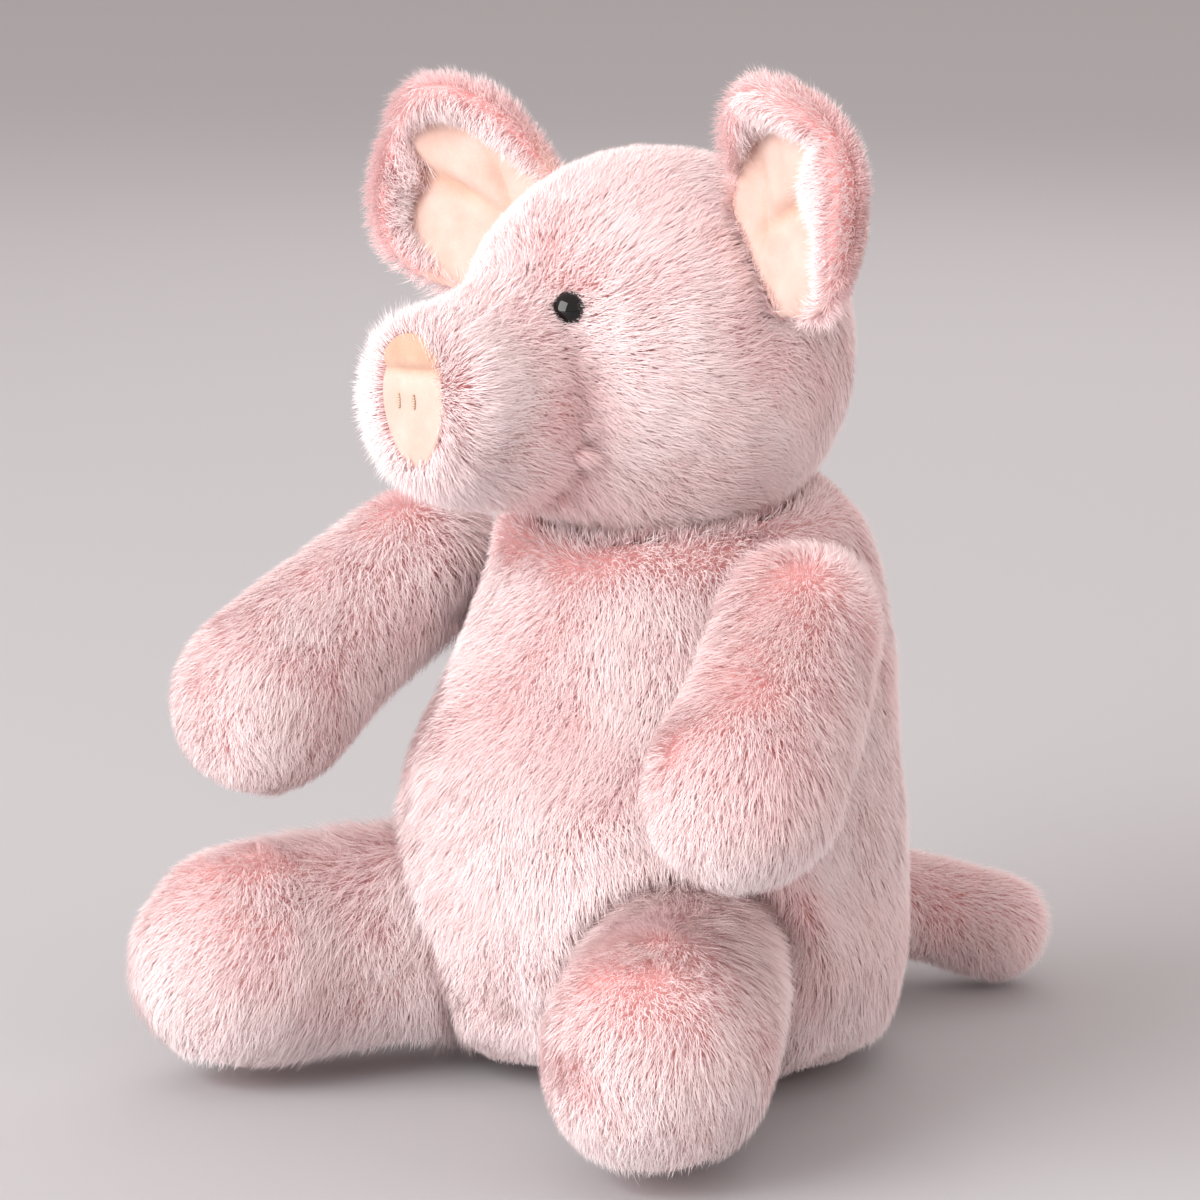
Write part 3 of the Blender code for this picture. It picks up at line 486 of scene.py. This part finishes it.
body_skin = remeshed("body_skin", outside_of(["body_cover", "body_stuffing", "pellet_bag"], BODY_MIDDLE), 0.005)
drawn_in(body_skin, BODY_PILE_DEPTH, 3)
stuffed(body_skin, 3.0, 0.003)
body_skin.data.materials.append(backing)


def unit(value):
    """A number held between 0 and 1."""
    return min(1.0, max(0.0, value))


def near_neck(point):
    """How near a point of the body is to the head: 1 where they touch, and 0 from 22 mm off."""
    return unit(1 - ((point - NECK_CENTRE).length - NECK_RADIUS) / NECK_NEAR)


def near_thigh(point):
    """How near a point of the body is to a leg: 1 where they touch, and 0 from 14 mm off."""
    way = Vector((math.copysign(THIGH_WAY[0], point.x), THIGH_WAY[1], 0))
    hip = Vector((math.copysign(0.054, point.x), -0.045, 0.0475))
    along = min(THIGH_LENGTH, max(0.0, (point - hip).dot(way)))
    return unit(1 - ((point - hip - way * along).length - THIGH_RADIUS) / THIGH_NEAR)


# The shoulders slope in under the head, and the skin comes up full to the head and the thighs.
SHOULDER_TOP = 0.222
SHOULDER_SOFTNESS = 0.024
SHOULDER_PULL = 0.16
for v in body_skin.data.vertices:
    high = unit(1 - (SHOULDER_TOP - v.co.z) / SHOULDER_SOFTNESS)
    behind = unit((v.co.y + 0.035) / 0.035)
    v.co.x -= v.co.x * SHOULDER_PULL * high**2
    v.co.y -= (v.co.y - NECK_CENTRE.y) * SHOULDER_PULL * high**2 * behind

JOIN_FULLNESS = 0.0035
for v, normal in with_normals(body_skin):
    v.co += normal * (JOIN_FULLNESS * max(near_neck(v.co) * unit(1 - normal.z), near_thigh(v.co)))


def body_lie(point, normal):
    """The body's pile is brushed down, and up against the head along the neck."""
    up = unit(1 - ((point - NECK_CENTRE).length - NECK_RADIUS - 0.002) / 0.024)
    down = Vector((point.x, point.y, 0)) * 2 - Vector((0, 0, 1))
    return down * (1 - up) + Vector((0, 0, 0.8)) * up


def body_cover(point, normal):
    """Hardly any pile is left under the seat and under the head, where it would only be pressed flat."""
    if near_neck(point) > 0.3 and normal.dot((NECK_CENTRE - point).normalized()) > 0.75:
        return 0.1
    return 0.35 if point.z < 0.008 and normal.z < -0.6 else 1.0


def spot(point, middle, size):
    """A soft round spot: 1 at its middle, fading over a size."""
    return math.exp(-((point - Vector(middle)).length / size) ** 2)


def body_length(point, normal):
    """The pile is pressed short under the seat, and stands longest at the neck."""
    thigh = spot(point, (0.066, -0.055, 0.070), 0.045) + spot(point, (-0.066, -0.055, 0.070), 0.045)
    if normal.z < -0.5:
        return 0.45 if point.z < 0.012 else 0.85
    return 1.0 + 0.35 * near_neck(point) + 0.3 * min(1, thigh)


def body_tone_and_painted_shade(point, normal):
    """Painted shade makes the pile rosier in spots across the chest, under the chin and in the creases by the thighs;
    all over it is a little paler, and palest near the neck.
    """
    chest = spot(point, (0.010, -0.062, 0.150), 0.022) + spot(point, (-0.020, -0.068, 0.143), 0.018)
    chin = spot(point, (0.010, -0.045, 0.190), 0.026)
    thigh = spot(point, (0.080, -0.030, 0.085), 0.022) + spot(point, (-0.075, -0.045, 0.085), 0.022)
    return 0.30 * min(1, chest) + 0.10 * chin + 0.35 * min(1, thigh) - 0.15 - 0.20 * near_neck(point)


combed(body_skin, body_lie, body_cover, body_length, body_tone_and_painted_shade)
body_panels = (
    ("front_left", lambda p: p.x >= 0 and p.y < BODY_MIDDLE.y),
    ("front_right", lambda p: p.x < 0 and p.y < BODY_MIDDLE.y),
    ("back_left", lambda p: p.x >= 0 and p.y >= BODY_MIDDLE.y),
    ("back_right", lambda p: p.x < 0 and p.y >= BODY_MIDDLE.y),
)
for seed, (part, inside) in enumerate(body_panels, start=11):
    grow_pile("body_pile_" + part, body_skin, "body", seed, keep=inside)
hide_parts("body_cover", "body_stuffing", "pellet_bag")
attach(body_skin, "body")


# Head and snout.
# A round fur bag with a blunt fur tube sewn to its front, both stuffed firmly. The head sits on the
# body's neck seam, turned a little to its right.
HEAD_CENTRE = Vector((0, 0.004, 0.270))
HEAD_TURN = math.radians(-12)
HEAD_ROLL = math.radians(-4)
HEAD_RADIUS = 0.074
SNOUT_END = 0.114
SNOUT_DROP = 0.009

head_place = (
    Matrix.Translation(HEAD_CENTRE)
    @ Matrix.Rotation(HEAD_TURN, 4, "Z")
    @ Matrix.Rotation(HEAD_ROLL, 4, "Y")
)
snout_middle = head_place @ Vector((0, -0.026, -0.002))
nose_tip = head_place @ Vector((0, -SNOUT_END, -SNOUT_DROP))
head_nodes = ["head_cover", "head_stuffing", "snout_cover", "snout_stuffing"]
head_skin = remeshed("head_skin", outside_of(head_nodes, snout_middle), 0.0045)
drawn_in(head_skin, 0.0052, 4)
stuffed(head_skin, 3.0, 0.003)
head_skin.data.materials.append(backing)
head_back = head_place.inverted()

# The crease between snout and cheeks is softened first. Then the seam is drawn in low down, the bridge
# of the snout is filled, and the snout's top slopes to the nose.
SEAM_FORWARD = 0.0615
SEAM_DEPTH = 0.0050
SEAM_WIDTH = 0.0085
SEAM_SOFT_REACH = 0.022
SEAM_SOFT_ROUNDS = 14
BRIDGE_RISE = 0.0065
SNOUT_SLOPE = 0.26
maker = bmesh.new()
maker.from_mesh(head_skin.data)
around_seam = [v for v in maker.verts if abs((head_back @ v.co).y + SEAM_FORWARD) < SEAM_SOFT_REACH]
smooth(maker, around_seam, 0.5, SEAM_SOFT_ROUNDS)
maker.to_mesh(head_skin.data)
maker.free()
for v in head_skin.data.vertices:
    local = head_back @ v.co
    seam = math.exp(-(((local.y + SEAM_FORWARD) / SEAM_WIDTH) ** 2))
    low = unit((0.030 - local.z) / 0.030)
    top = unit(local.z / 0.012)
    bridge = math.exp(-((local.x / 0.024) ** 2) - ((local.y + 0.066) / 0.022) ** 2) * top
    slope = SNOUT_SLOPE * unit((-0.070 - local.y) / 0.040) * max(0.0, local.z)
    v.co += v.normal * (BRIDGE_RISE * bridge - SEAM_DEPTH * seam * low)
    v.co += head_place.to_3x3() @ Vector((0, 0, -slope))


def head_lie(point, normal):
    """The head's pile runs back from the nose, falls a little, and hangs down behind."""
    away = point - nose_tip
    fall = unit((away.length - 0.030) / 0.030)
    behind = unit(((head_back @ point).y + 0.010) / 0.045)
    return away.normalized() * (0.95 - 0.80 * behind) + Vector((0, 0, -0.35 * fall - 0.65 * behind))


def head_cover(point, normal):
    """No pile grows where the nose pad is sewn in, or under the neck."""
    local = head_back @ point
    pad = (local.x / 0.0168) ** 2 + ((local.z + SNOUT_DROP) / 0.0202) ** 2
    if local.y < -0.100 and pad < 1:
        return 0.0
    return 1.0 + 0.7 * unit((-0.088 - local.y) / 0.008)


def head_tone_and_painted_shade(point, normal):
    """Painted shade makes the pile rosier low down, along the seam between the snout and the cheeks and round the
    muzzle; a little rose shows above the eyes, and the rim round the nose pad is paler.
    """
    local = head_back @ point
    seam = math.exp(-(((local.y + 0.064) / 0.012) ** 2))
    under = unit(0.55 - local.z / 0.04)
    brow = spot(local, (0.034, -0.030, 0.052), 0.012) + spot(local, (-0.034, -0.030, 0.052), 0.012)
    muzzle = math.exp(-(((local.y + 0.074) / 0.011) ** 2))
    rim = unit((-0.086 - local.y) / 0.012)
    return (0.6 * seam + 0.3 * muzzle) * under + 0.08 * brow - 0.60 * rim


def head_length(point, normal):
    """The pile is longest under the jaw, where it hides the neck seam."""
    return 1.0 + 0.3 * unit(-normal.z)


combed(head_skin, head_lie, head_cover, head_length, head_tone_and_painted_shade)
SNOUT_PANEL_START = -0.050
head_panels = (
    ("snout", lambda p: (head_back @ p).y < SNOUT_PANEL_START),
    ("left", lambda p: (head_back @ p).y >= SNOUT_PANEL_START and (head_back @ p).x >= 0),
    ("right", lambda p: (head_back @ p).y >= SNOUT_PANEL_START and (head_back @ p).x < 0),
)
for seed, (part, inside) in enumerate(head_panels, start=21):
    grow_pile("head_pile_" + part, head_skin, "head", seed, keep=inside)
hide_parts(*head_nodes, "eye_washer_left", "eye_washer_right")
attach(head_skin, "head")


# Eyes.
# Domed safety eyes of polished black plastic, pressed through the cover and locked behind it with a
# washer. The pile stands round them and hides their rims.
EYE_RADIUS = 0.0064
EYE_SIDE = 0.0300
EYE_RISE = 0.0215
EYE_SINK = 0.0035

# Injection-moulded and polished: deep black, with sharp highlights.
eye_plastic, tree, shader = new_material("polished_black_plastic")
where = add_node(tree, "ShaderNodeTexCoord").outputs["Object"]
dust = add_node(tree, "ShaderNodeTexNoise", {"Vector": where, "Scale": 700.0, "Detail": 2.0})
tree.links.new(ramp(tree, dust.outputs["Fac"], ((0.35, "#050506"), (0.75, "#0E0D0E"))), shader.inputs["Base Color"])
shader.inputs["Roughness"].default_value = 0.07
shader.inputs["IOR"].default_value = 1.45
shader.inputs["Coat Weight"].default_value = 0.12
shader.inputs["Coat Roughness"].default_value = 0.03

for side, sign in (("left", 1), ("right", -1)):
    forward = math.sqrt(HEAD_RADIUS**2 - EYE_SIDE**2 - EYE_RISE**2)
    way = Vector((sign * EYE_SIDE, -forward, EYE_RISE)).normalized()
    maker = bmesh.new()
    bmesh.ops.create_uvsphere(maker, u_segments=40, v_segments=24, radius=EYE_RADIUS)
    for v in maker.verts:
        v.co.z = v.co.z * 0.80 if v.co.z > 0 else v.co.z * 0.35
    turn = way.to_track_quat("Z", "Y").to_matrix().to_4x4()
    eye_place = head_place @ Matrix.Translation(way * (HEAD_RADIUS - EYE_SINK)) @ turn
    bmesh.ops.transform(maker, matrix=eye_place, verts=maker.verts)
    mesh = bpy.data.meshes.new("eye_dome_" + side)
    maker.to_mesh(mesh)
    maker.free()
    mesh.shade_smooth()
    eye = link_object("eye_dome_" + side, mesh)
    mesh.materials.append(eye_plastic)
    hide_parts("eye_" + side)
    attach(eye, "head")


# Nose pad.
# A teardrop of short peach velboa let into the end of the snout, with a fold of the same cloth across
# its top, and two nostrils in grey thread.
PAD_HALF_WIDTH = 0.0225
PAD_HALF_HEIGHT = 0.0240
PAD_SINK = 0.0042
PAD_RINGS = 16
PAD_SPOKES = 56

# Velboa: a short, shorn polyester plush with a soft grain and no shine.
velboa, tree, shader = new_material("peach_velboa")
where = add_node(tree, "ShaderNodeTexCoord").outputs["Object"]
nap = add_node(tree, "ShaderNodeTexNoise", {"Vector": where, "Scale": 75.0, "Detail": 3.0})
grain = add_node(tree, "ShaderNodeTexNoise", {"Vector": where, "Scale": 1500.0, "Detail": 2.0})
tone = add_node(tree, "ShaderNodeMath", {0: nap.outputs["Fac"], 1: 0.7, 2: 0.0}, operation="MULTIPLY")
tone = add_node(
    tree, "ShaderNodeMath", {0: grain.outputs["Fac"], 1: 0.3, 2: tone.outputs[0]}, operation="MULTIPLY_ADD")
open_nap = ramp(tree, tone.outputs[0], ((0.3, "#D8B2A3"), (0.5, "#E0BEB1"), (0.7, "#E8CBC0")))
# The darker tan, mixed in by the nap attribute, is turned nap with painted shade at the top of the nose pad, painted
# shade along the pad's fold, and painted shade in the ear linings' creases.
shut_nap_and_painted_shade = ramp(tree, tone.outputs[0], ((0.3, "#BF957E"), (0.5, "#CAA38B"), (0.7, "#D5B29B")))
nap_turn_and_painted_shade = add_node(tree, "ShaderNodeAttribute", attribute_name="nap").outputs["Fac"]
mixed = add_node(tree, "ShaderNodeMix", {"Factor": nap_turn_and_painted_shade, 6: open_nap, 7: shut_nap_and_painted_shade}, data_type="RGBA")
tree.links.new(mixed.outputs[2], shader.inputs["Base Color"])
bump = add_node(tree, "ShaderNodeBump", {"Height": tone.outputs[0], "Strength": 0.5, "Distance": 0.0008})
tree.links.new(bump.outputs["Normal"], shader.inputs["Normal"])
shader.inputs["Roughness"].default_value = 0.9
shader.inputs["Specular IOR Level"].default_value = 0.15
shader.inputs["Sheen Weight"].default_value = 0.3
shader.inputs["Sheen Roughness"].default_value = 0.5


def sheet_solid(name, grid, thickness, finish):
    """A closed sheet of cloth from rows of points on its front, each with how far its nap is darkened: turned over,
    and painted shade along folds and creases.
    """
    maker = bmesh.new()
    nap = maker.verts.layers.float.new("nap")
    rows = [[maker.verts.new(point) for point, _ in row] for row in grid]
    for verts, row in zip(rows, grid):
        for v, (_, value) in zip(verts, row):
            v[nap] = value
    for low, high in zip(rows, rows[1:]):
        for a, b, c, d in zip(low, low[1:], high[1:], high):
            maker.faces.new((a, b, c, d))
    bmesh.ops.remove_doubles(maker, verts=maker.verts, dist=1e-6)
    bmesh.ops.recalc_face_normals(maker, faces=maker.faces)
    mesh = bpy.data.meshes.new(name)
    maker.to_mesh(mesh)
    maker.free()
    made = link_object(name, mesh)
    wall = made.modifiers.new("wall", "SOLIDIFY")
    wall.thickness = thickness
    wall.offset = 0
    made.modifiers.new("finer", "SUBSURF").levels = 1
    made.modifiers["finer"].render_levels = 1
    bake_modifiers(made)
    made.data.shade_smooth()
    made.data.materials.append(finish)
    return made


def pad_point(around, share):
    """A point of the nose pad: an angle round it, and a share of the way to its edge."""
    x = PAD_HALF_WIDTH * math.sin(around) * share
    z = PAD_HALF_HEIGHT * math.cos(around) * share
    upper = 1 / (1 + math.exp(-(z - PAD_HALF_HEIGHT * 0.50) / 0.0012))
    taper = 0.80 + 0.20 * upper - 0.10 * max(0, -z) / PAD_HALF_HEIGHT
    crown = 0.0026 * (1 - share**2)
    fold = math.exp(-((z - PAD_HALF_HEIGHT * 0.46) / 0.0016) ** 2)
    depth = crown - 0.0022 * fold + 0.0012 * upper * (1 - share**4)
    point = head_place @ Vector((x * taper, -SNOUT_END + PAD_SINK - depth, z - SNOUT_DROP))
    # The nap is darker over the top band, partly turned nap and partly painted shade, and darker still along the fold,
    # as painted shade.
    return point, min(1, upper + 0.6 * fold)


pad_rows = [
    [pad_point(2 * math.pi * i / PAD_SPOKES, ring / PAD_RINGS) for i in range(PAD_SPOKES + 1)]
    for ring in range(PAD_RINGS + 1)
]
pad = sheet_solid("nose_pad_velboa", pad_rows, 0.0016, velboa)
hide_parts("nose_pad")
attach(pad, "head")

# Cotton embroidery thread in warm grey, laid in close satin stitches.
nostril_thread, tree, shader = new_material("grey_embroidery_thread")
where = add_node(tree, "ShaderNodeTexCoord").outputs["Object"]
strand = add_node(tree, "ShaderNodeTexNoise", {"Vector": where, "Scale": 1800.0, "Detail": 2.0})
tree.links.new(ramp(tree, strand.outputs["Fac"], ((0.3, "#B9A38F"), (0.7, "#D3BEA8"))), shader.inputs["Base Color"])
shader.inputs["Roughness"].default_value = 0.7

for side, sign in (("left", 1), ("right", -1)):
    maker = bmesh.new()
    for stitch in range(6):
        rise = (stitch - 2.5) * 0.0009
        half = 0.0011 * math.sqrt(max(0.1, 1 - (rise / 0.0031) ** 2))
        middle = Vector((sign * 0.0045, -SNOUT_END + 0.0007, rise - SNOUT_DROP))
        thread = bmesh.ops.create_uvsphere(maker, u_segments=10, v_segments=6, radius=1.0)
        for v in thread["verts"]:
            v.co = middle + Vector((v.co.x * half, v.co.y * 0.00045, v.co.z * 0.00052))
    bmesh.ops.transform(maker, matrix=head_place, verts=maker.verts)
    mesh = bpy.data.meshes.new("nostril_" + side)
    maker.to_mesh(mesh)
    maker.free()
    mesh.shade_smooth()
    nostril = link_object("nostril_" + side, mesh)
    mesh.materials.append(nostril_thread)
    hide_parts("nostril_stitch_" + side)
    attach(nostril, "head")


# Ears.
# Each is a leaf of fur cloth sewn to a leaf of peach velboa, turned, lightly stuffed and pinched in the
# middle, so that the fur rolls round its edge. Its root is sewn to the head.
EAR_ROOT_ANGLE = math.radians(30)
EAR_LEAN = math.radians(12)
EAR_ROOT_SEAT = 0.0710
EAR_REACH = 0.084
EAR_HALF_WIDTH = 0.045
EAR_CUP = 0.016
NOTCH_TURN = 0.2
ROLL_RISE = 0.0045
LINING_DIP = 0.0090
PINCH_CENTRE = 0.42
LINING_COLUMNS = 14
LINING_ROWS = 32
EAR_WIDTH_STATIONS = (
    (0, 0.63), (0.06, 0.66), (0.18, 0.80), (0.33, 0.93), (0.52, 1), (0.72, 0.94), (0.87, 0.74),
    (0.96, 0.48), (1, 0.22),
)


def ear_half_width(along):
    """Half the width of an ear at a share of its reach."""
    return EAR_HALF_WIDTH * float(np.interp(along, *zip(*EAR_WIDTH_STATIONS)))


for side, sign in (("left", 1), ("right", -1)):
    outward = Vector((sign * math.cos(EAR_ROOT_ANGLE), 0, math.sin(EAR_ROOT_ANGLE)))
    down = Vector((sign * math.sin(EAR_ROOT_ANGLE), 0, -math.cos(EAR_ROOT_ANGLE)))
    reach = (outward * math.cos(EAR_LEAN) + Vector((0, -1, 0)) * math.sin(EAR_LEAN)).normalized()
    front = down.cross(reach) * sign
    turn = Matrix((down, reach, front)).transposed().to_4x4()
    ear_place = head_place @ Matrix.Translation(outward * EAR_ROOT_SEAT) @ turn
    ear_back = ear_place.inverted()
    body = "ear_" + side
    ear_nodes = ["ear_outer_" + side, "ear_lining_" + side]
    skin = remeshed(f"ear_skin_{side}", outside_of(ear_nodes, ear_place @ Vector((0, 0.045, 0.003))), 0.0028)
    drawn_in(skin, 0.0022, 2)
    stuffed(skin, 1.0, 0.001)
    skin.data.materials.append(backing)

    def lining_share(local):
        """How far out in an ear a point is: under 0 on the lining, 0 at the lining's edge, and over 0 on the fur."""
        along = local.y / EAR_REACH
        across = local.x / max(0.001, ear_half_width(unit(along)))
        around = math.atan2(across, (along - PINCH_CENTRE) * 2.2)
        notch = math.exp(-(((around - NOTCH_TURN) / 0.32) ** 2))
        edge = 0.86 - 0.28 * notch - 0.04 * math.sin(3 * around) - 0.10 * unit(-2 * across)
        return math.hypot(across, max(0.0, along - PINCH_CENTRE) * 1.5) - edge

    turn_back = ear_back.to_3x3()
    shell = BVHTree.FromPolygons(
        [v.co.copy() for v in skin.data.vertices], [tuple(p.vertices) for p in skin.data.polygons])
    for v, normal in with_normals(skin):
        local = ear_back @ v.co
        facing = (turn_back @ normal).z
        along = local.y / EAR_REACH
        share = lining_share(local)
        if facing > 0 and along > 0:
            dip = unit(-share / 0.10) * min(1, along / 0.05)
            roll = unit(share / 0.14) * min(1, facing / 0.3) * min(1, along / 0.10)
            room = shell.ray_cast(v.co - front * 0.0005, -front)[3] or 0.0
            v.co += front * (ROLL_RISE * roll - min(LINING_DIP * dip, max(0.0, room - 0.0015)))

    def ear_lie(point, normal, ear_place=ear_place, ear_back=ear_back):
        """The ear's pile runs from its root over its rim, and curls in round the lining."""
        local = ear_back @ point
        facing = (ear_back.to_3x3() @ normal).z
        way = Vector((local.x * 0.8, 0.02 + max(0.0, local.y) * 0.4, 0)).normalized()
        inward = Vector((-local.x, 0.045 - local.y, 0)).normalized()
        over = unit(0.5 + facing)
        grip = 1.15 * unit((local.y / EAR_REACH - 0.02) / 0.16) - 0.35
        lie = way * (grip * (1 - over)) + Vector((0, 0, 0.9)) * (1 - abs(facing)) + inward * (0.80 * over)
        return ear_place.to_3x3() @ lie

    def ear_cover(point, normal, ear_back=ear_back):
        """No pile grows under the lining, but it does on the root's end."""
        local = ear_back @ point
        facing = (ear_back.to_3x3() @ normal).z
        return 0.0 if facing > 0.0 and local.y > 0.002 and lining_share(local) < -0.04 else 1.0

    combed(skin, ear_lie, ear_cover, blush=lambda point, normal: -0.2)
    grow_pile(f"ear_pile_{side}", skin, body, 30 + sign, strands=3.0e6, height=0.0056, lean=0.0078)
    rows = []
    for i in range(LINING_ROWS + 1):
        along = 0.01 + 0.88 * i / LINING_ROWS
        row = []
        for j in range(-LINING_COLUMNS, LINING_COLUMNS + 1):
            across = 0.90 * j / LINING_COLUMNS
            half = ear_half_width(along)
            x = half * across
            z = EAR_CUP * along * (half / EAR_HALF_WIDTH) ** 2 * across**2
            bulge = 0.0036 * math.sqrt(1 - across**2)
            tuck = 0.0075 * unit((lining_share(Vector((x, EAR_REACH * along, 0))) - 0.03) / 0.16)
            fold = across - math.tan(NOTCH_TURN) * (along - PINCH_CENTRE) * 1.2
            crease = math.exp(-((fold / 0.07) ** 2)) * math.exp(-(((along - 0.52) / 0.28) ** 2))
            second = across + 0.25 - (0.30 - along) * 1.6
            crease += 0.65 * math.exp(-((second / 0.06) ** 2)) * math.exp(-(((along - 0.26) / 0.16) ** 2))
            wrinkle = 0.0010 * math.sin(across * 9 + along * 7) * math.exp(-(((along - 0.3) / 0.25) ** 2))
            point = ear_place @ Vector((x, EAR_REACH * along, z + bulge - tuck - 0.0042 * crease + wrinkle))
            # The lining's nap is darkened along its creases as painted shade.
            row.append((point, min(1, 0.8 * crease)))
        rows.append(row)
    lining = sheet_solid(f"ear_lining_velboa_{side}", rows, 0.0016, velboa)
    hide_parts("ear_outer_" + side)
    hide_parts("ear_lining_" + side)
    for piece, finish in ((skin, "fur"), (lining, "velboa")):
        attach(piece, body)


# Arms and legs.
# Stuffed tubes of the same fur cloth. An arm is sewn flat to the body's side and ends in a plain paw;
# a leg is sewn low on the side and ends in a large round foot, a little flat where it rests.
ARM_WAY = Vector((0, -0.78, -0.62))
ARM_SEAM = 0.022
LEG_NARROWING = 0.08
LEG_ENDS = {"left": (Vector((0.054, -0.045, 0.0495)), Vector((0.097, -0.113, 0.0455)))}
LEG_ENDS["right"] = tuple(Vector((-p.x, p.y, p.z)) for p in LEG_ENDS["left"])


def brushed(lie, normal):
    """A way along the skin of one strength, which fades only where the pile parts."""
    flat = lie - normal * normal.dot(lie)
    return flat * (0.85 / max(0.3, flat.length))


def node_middle(name):
    """The middle of a CAD node's box."""
    low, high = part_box(name)
    return (low + high) / 2


for side, sign in (("left", 1), ("right", -1)):
    arm_nodes = [f"arm_{side}_cover", f"arm_{side}_stuffing"]
    arm_skin = remeshed(f"arm_skin_{side}", outside_of(arm_nodes, node_middle(arm_nodes[0])), 0.0045)
    drawn_in(arm_skin, 0.0038, 3)
    stuffed(arm_skin, 2.0, 0.002)
    arm_skin.data.materials.append(backing)
    shoulder = Vector((sign * 0.092, -0.026, 0.182))

    def arm_lie(point, normal, sign=sign, shoulder=shoulder):
        """The arm's pile hangs down, and lies over the seam where the arm joins the body."""
        along = (point - shoulder).dot(ARM_WAY)
        top = unit(-along / ARM_SEAM)
        flow = brushed(Vector((0, 0, -0.85)) + ARM_WAY * 0.3, normal)
        return flow * (1 - top) + Vector((-sign * 0.9, 0.3, 0.25)) * top

    def arm_length(point, normal, sign=sign, shoulder=shoulder):
        """The pile is longest round the shoulder and between it and the body."""
        along = (point - shoulder).dot(ARM_WAY)
        inner = max(0.0, -sign * normal.x) * unit(1 - along / 0.05)
        return 1.0 + 0.45 * unit(-along / ARM_SEAM) + 0.6 * inner

    def arm_tone_and_painted_light(point, normal, tone=0.02 if side == "left" else -0.34):
        """The pile is palest under the arm, and the right arm is paler all over: painted light, to show it lit."""
        return tone - 0.35 * unit(-normal.z)

    combed(arm_skin, arm_lie, pile=arm_length, blush=arm_tone_and_painted_light)
    grow_pile(f"arm_pile_{side}", arm_skin, "arm_" + side, 40 + sign)
    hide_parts(*arm_nodes)
    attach(arm_skin, "arm_" + side)

    leg_nodes = [f"leg_{side}_cover", f"leg_{side}_stuffing"]
    hip, foot = LEG_ENDS[side]
    leg_way = (foot - hip).normalized()
    leg_skin = remeshed(f"leg_skin_{side}", outside_of(leg_nodes, node_middle(leg_nodes[0])), 0.005)
    drawn_in(leg_skin, 0.0052, 3)
    stuffed(leg_skin, 2.0, 0.002)
    leg_skin.data.materials.append(backing)
    breadth = Vector((leg_way.y, -leg_way.x, 0)).normalized()
    for v in leg_skin.data.vertices:
        v.co -= breadth * ((v.co - foot).dot(breadth) * LEG_NARROWING)

    def leg_lie(point, normal, leg_way=leg_way):
        """The leg's pile hangs down from the top of the leg, also over the sole."""
        return brushed(Vector((0, 0, -0.85)) + leg_way * 0.35, normal)

    def leg_length(point, normal, foot=foot, leg_way=leg_way):
        """The pile is pressed short under the leg, and stands longest where the leg goes in under the belly."""
        if normal.z < -0.7:
            return 0.5
        return 1.0 + 0.7 * max(0.0, normal.z) * unit(((foot - point).dot(leg_way) - 0.008) / 0.025)

    combed(
        leg_skin, leg_lie,
        cover=lambda point, normal: 0.35 if normal.z < -0.8 else 1.0,
        pile=leg_length,
        blush=lambda point, normal, way=leg_way: -0.20 - 0.55 * max(0.0, normal.dot(way)) - 0.40 * max(0.0, -normal.z))
    grow_pile(f"leg_pile_{side}", leg_skin, "leg_" + side, 50 + sign, strands=2.2e6)
    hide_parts(*leg_nodes)
    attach(leg_skin, "leg_" + side)


# Tail.
# A short stuffed tube of the fur cloth, sewn low on the back, with one soft kink.
tail_skin = remeshed("tail_skin", outside_of(["tail_cover", "tail_stuffing"], Vector((0.014, 0.137, 0.029))), 0.0035)
drawn_in(tail_skin, 0.0022, 2)
stuffed(tail_skin, 2.0, 0.001)
tail_skin.data.materials.append(backing)
combed(tail_skin, lambda point, normal: brushed(Vector((0.12, 0.3, -0.85)), normal))
grow_pile("tail_pile", tail_skin, "tail", 61, height=0.0064, lean=0.0080)
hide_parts("tail_cover", "tail_stuffing")
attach(tail_skin, "tail")


# Closing seam.
# The opening low on the back where the stuffing went in, drawn shut by hand with a ladder stitch.
# Polyester sewing thread, twisted and slightly shiny.
seam_thread, tree, shader = new_material("pink_sewing_thread")
where = add_node(tree, "ShaderNodeTexCoord").outputs["Object"]
twist = add_node(tree, "ShaderNodeTexNoise", {"Vector": where, "Scale": 1600.0, "Detail": 1.0})
tree.links.new(ramp(tree, twist.outputs["Fac"], ((0.3, "#DDA3A1"), (0.7, "#EDBFBC"))), shader.inputs["Base Color"])
shader.inputs["Roughness"].default_value = 0.5
stitch_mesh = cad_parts["closing_stitch"].data
stitch_mesh.materials.clear()
stitch_mesh.materials.append(seam_thread)

bpy.data.objects.remove(blade, do_unlink=True)
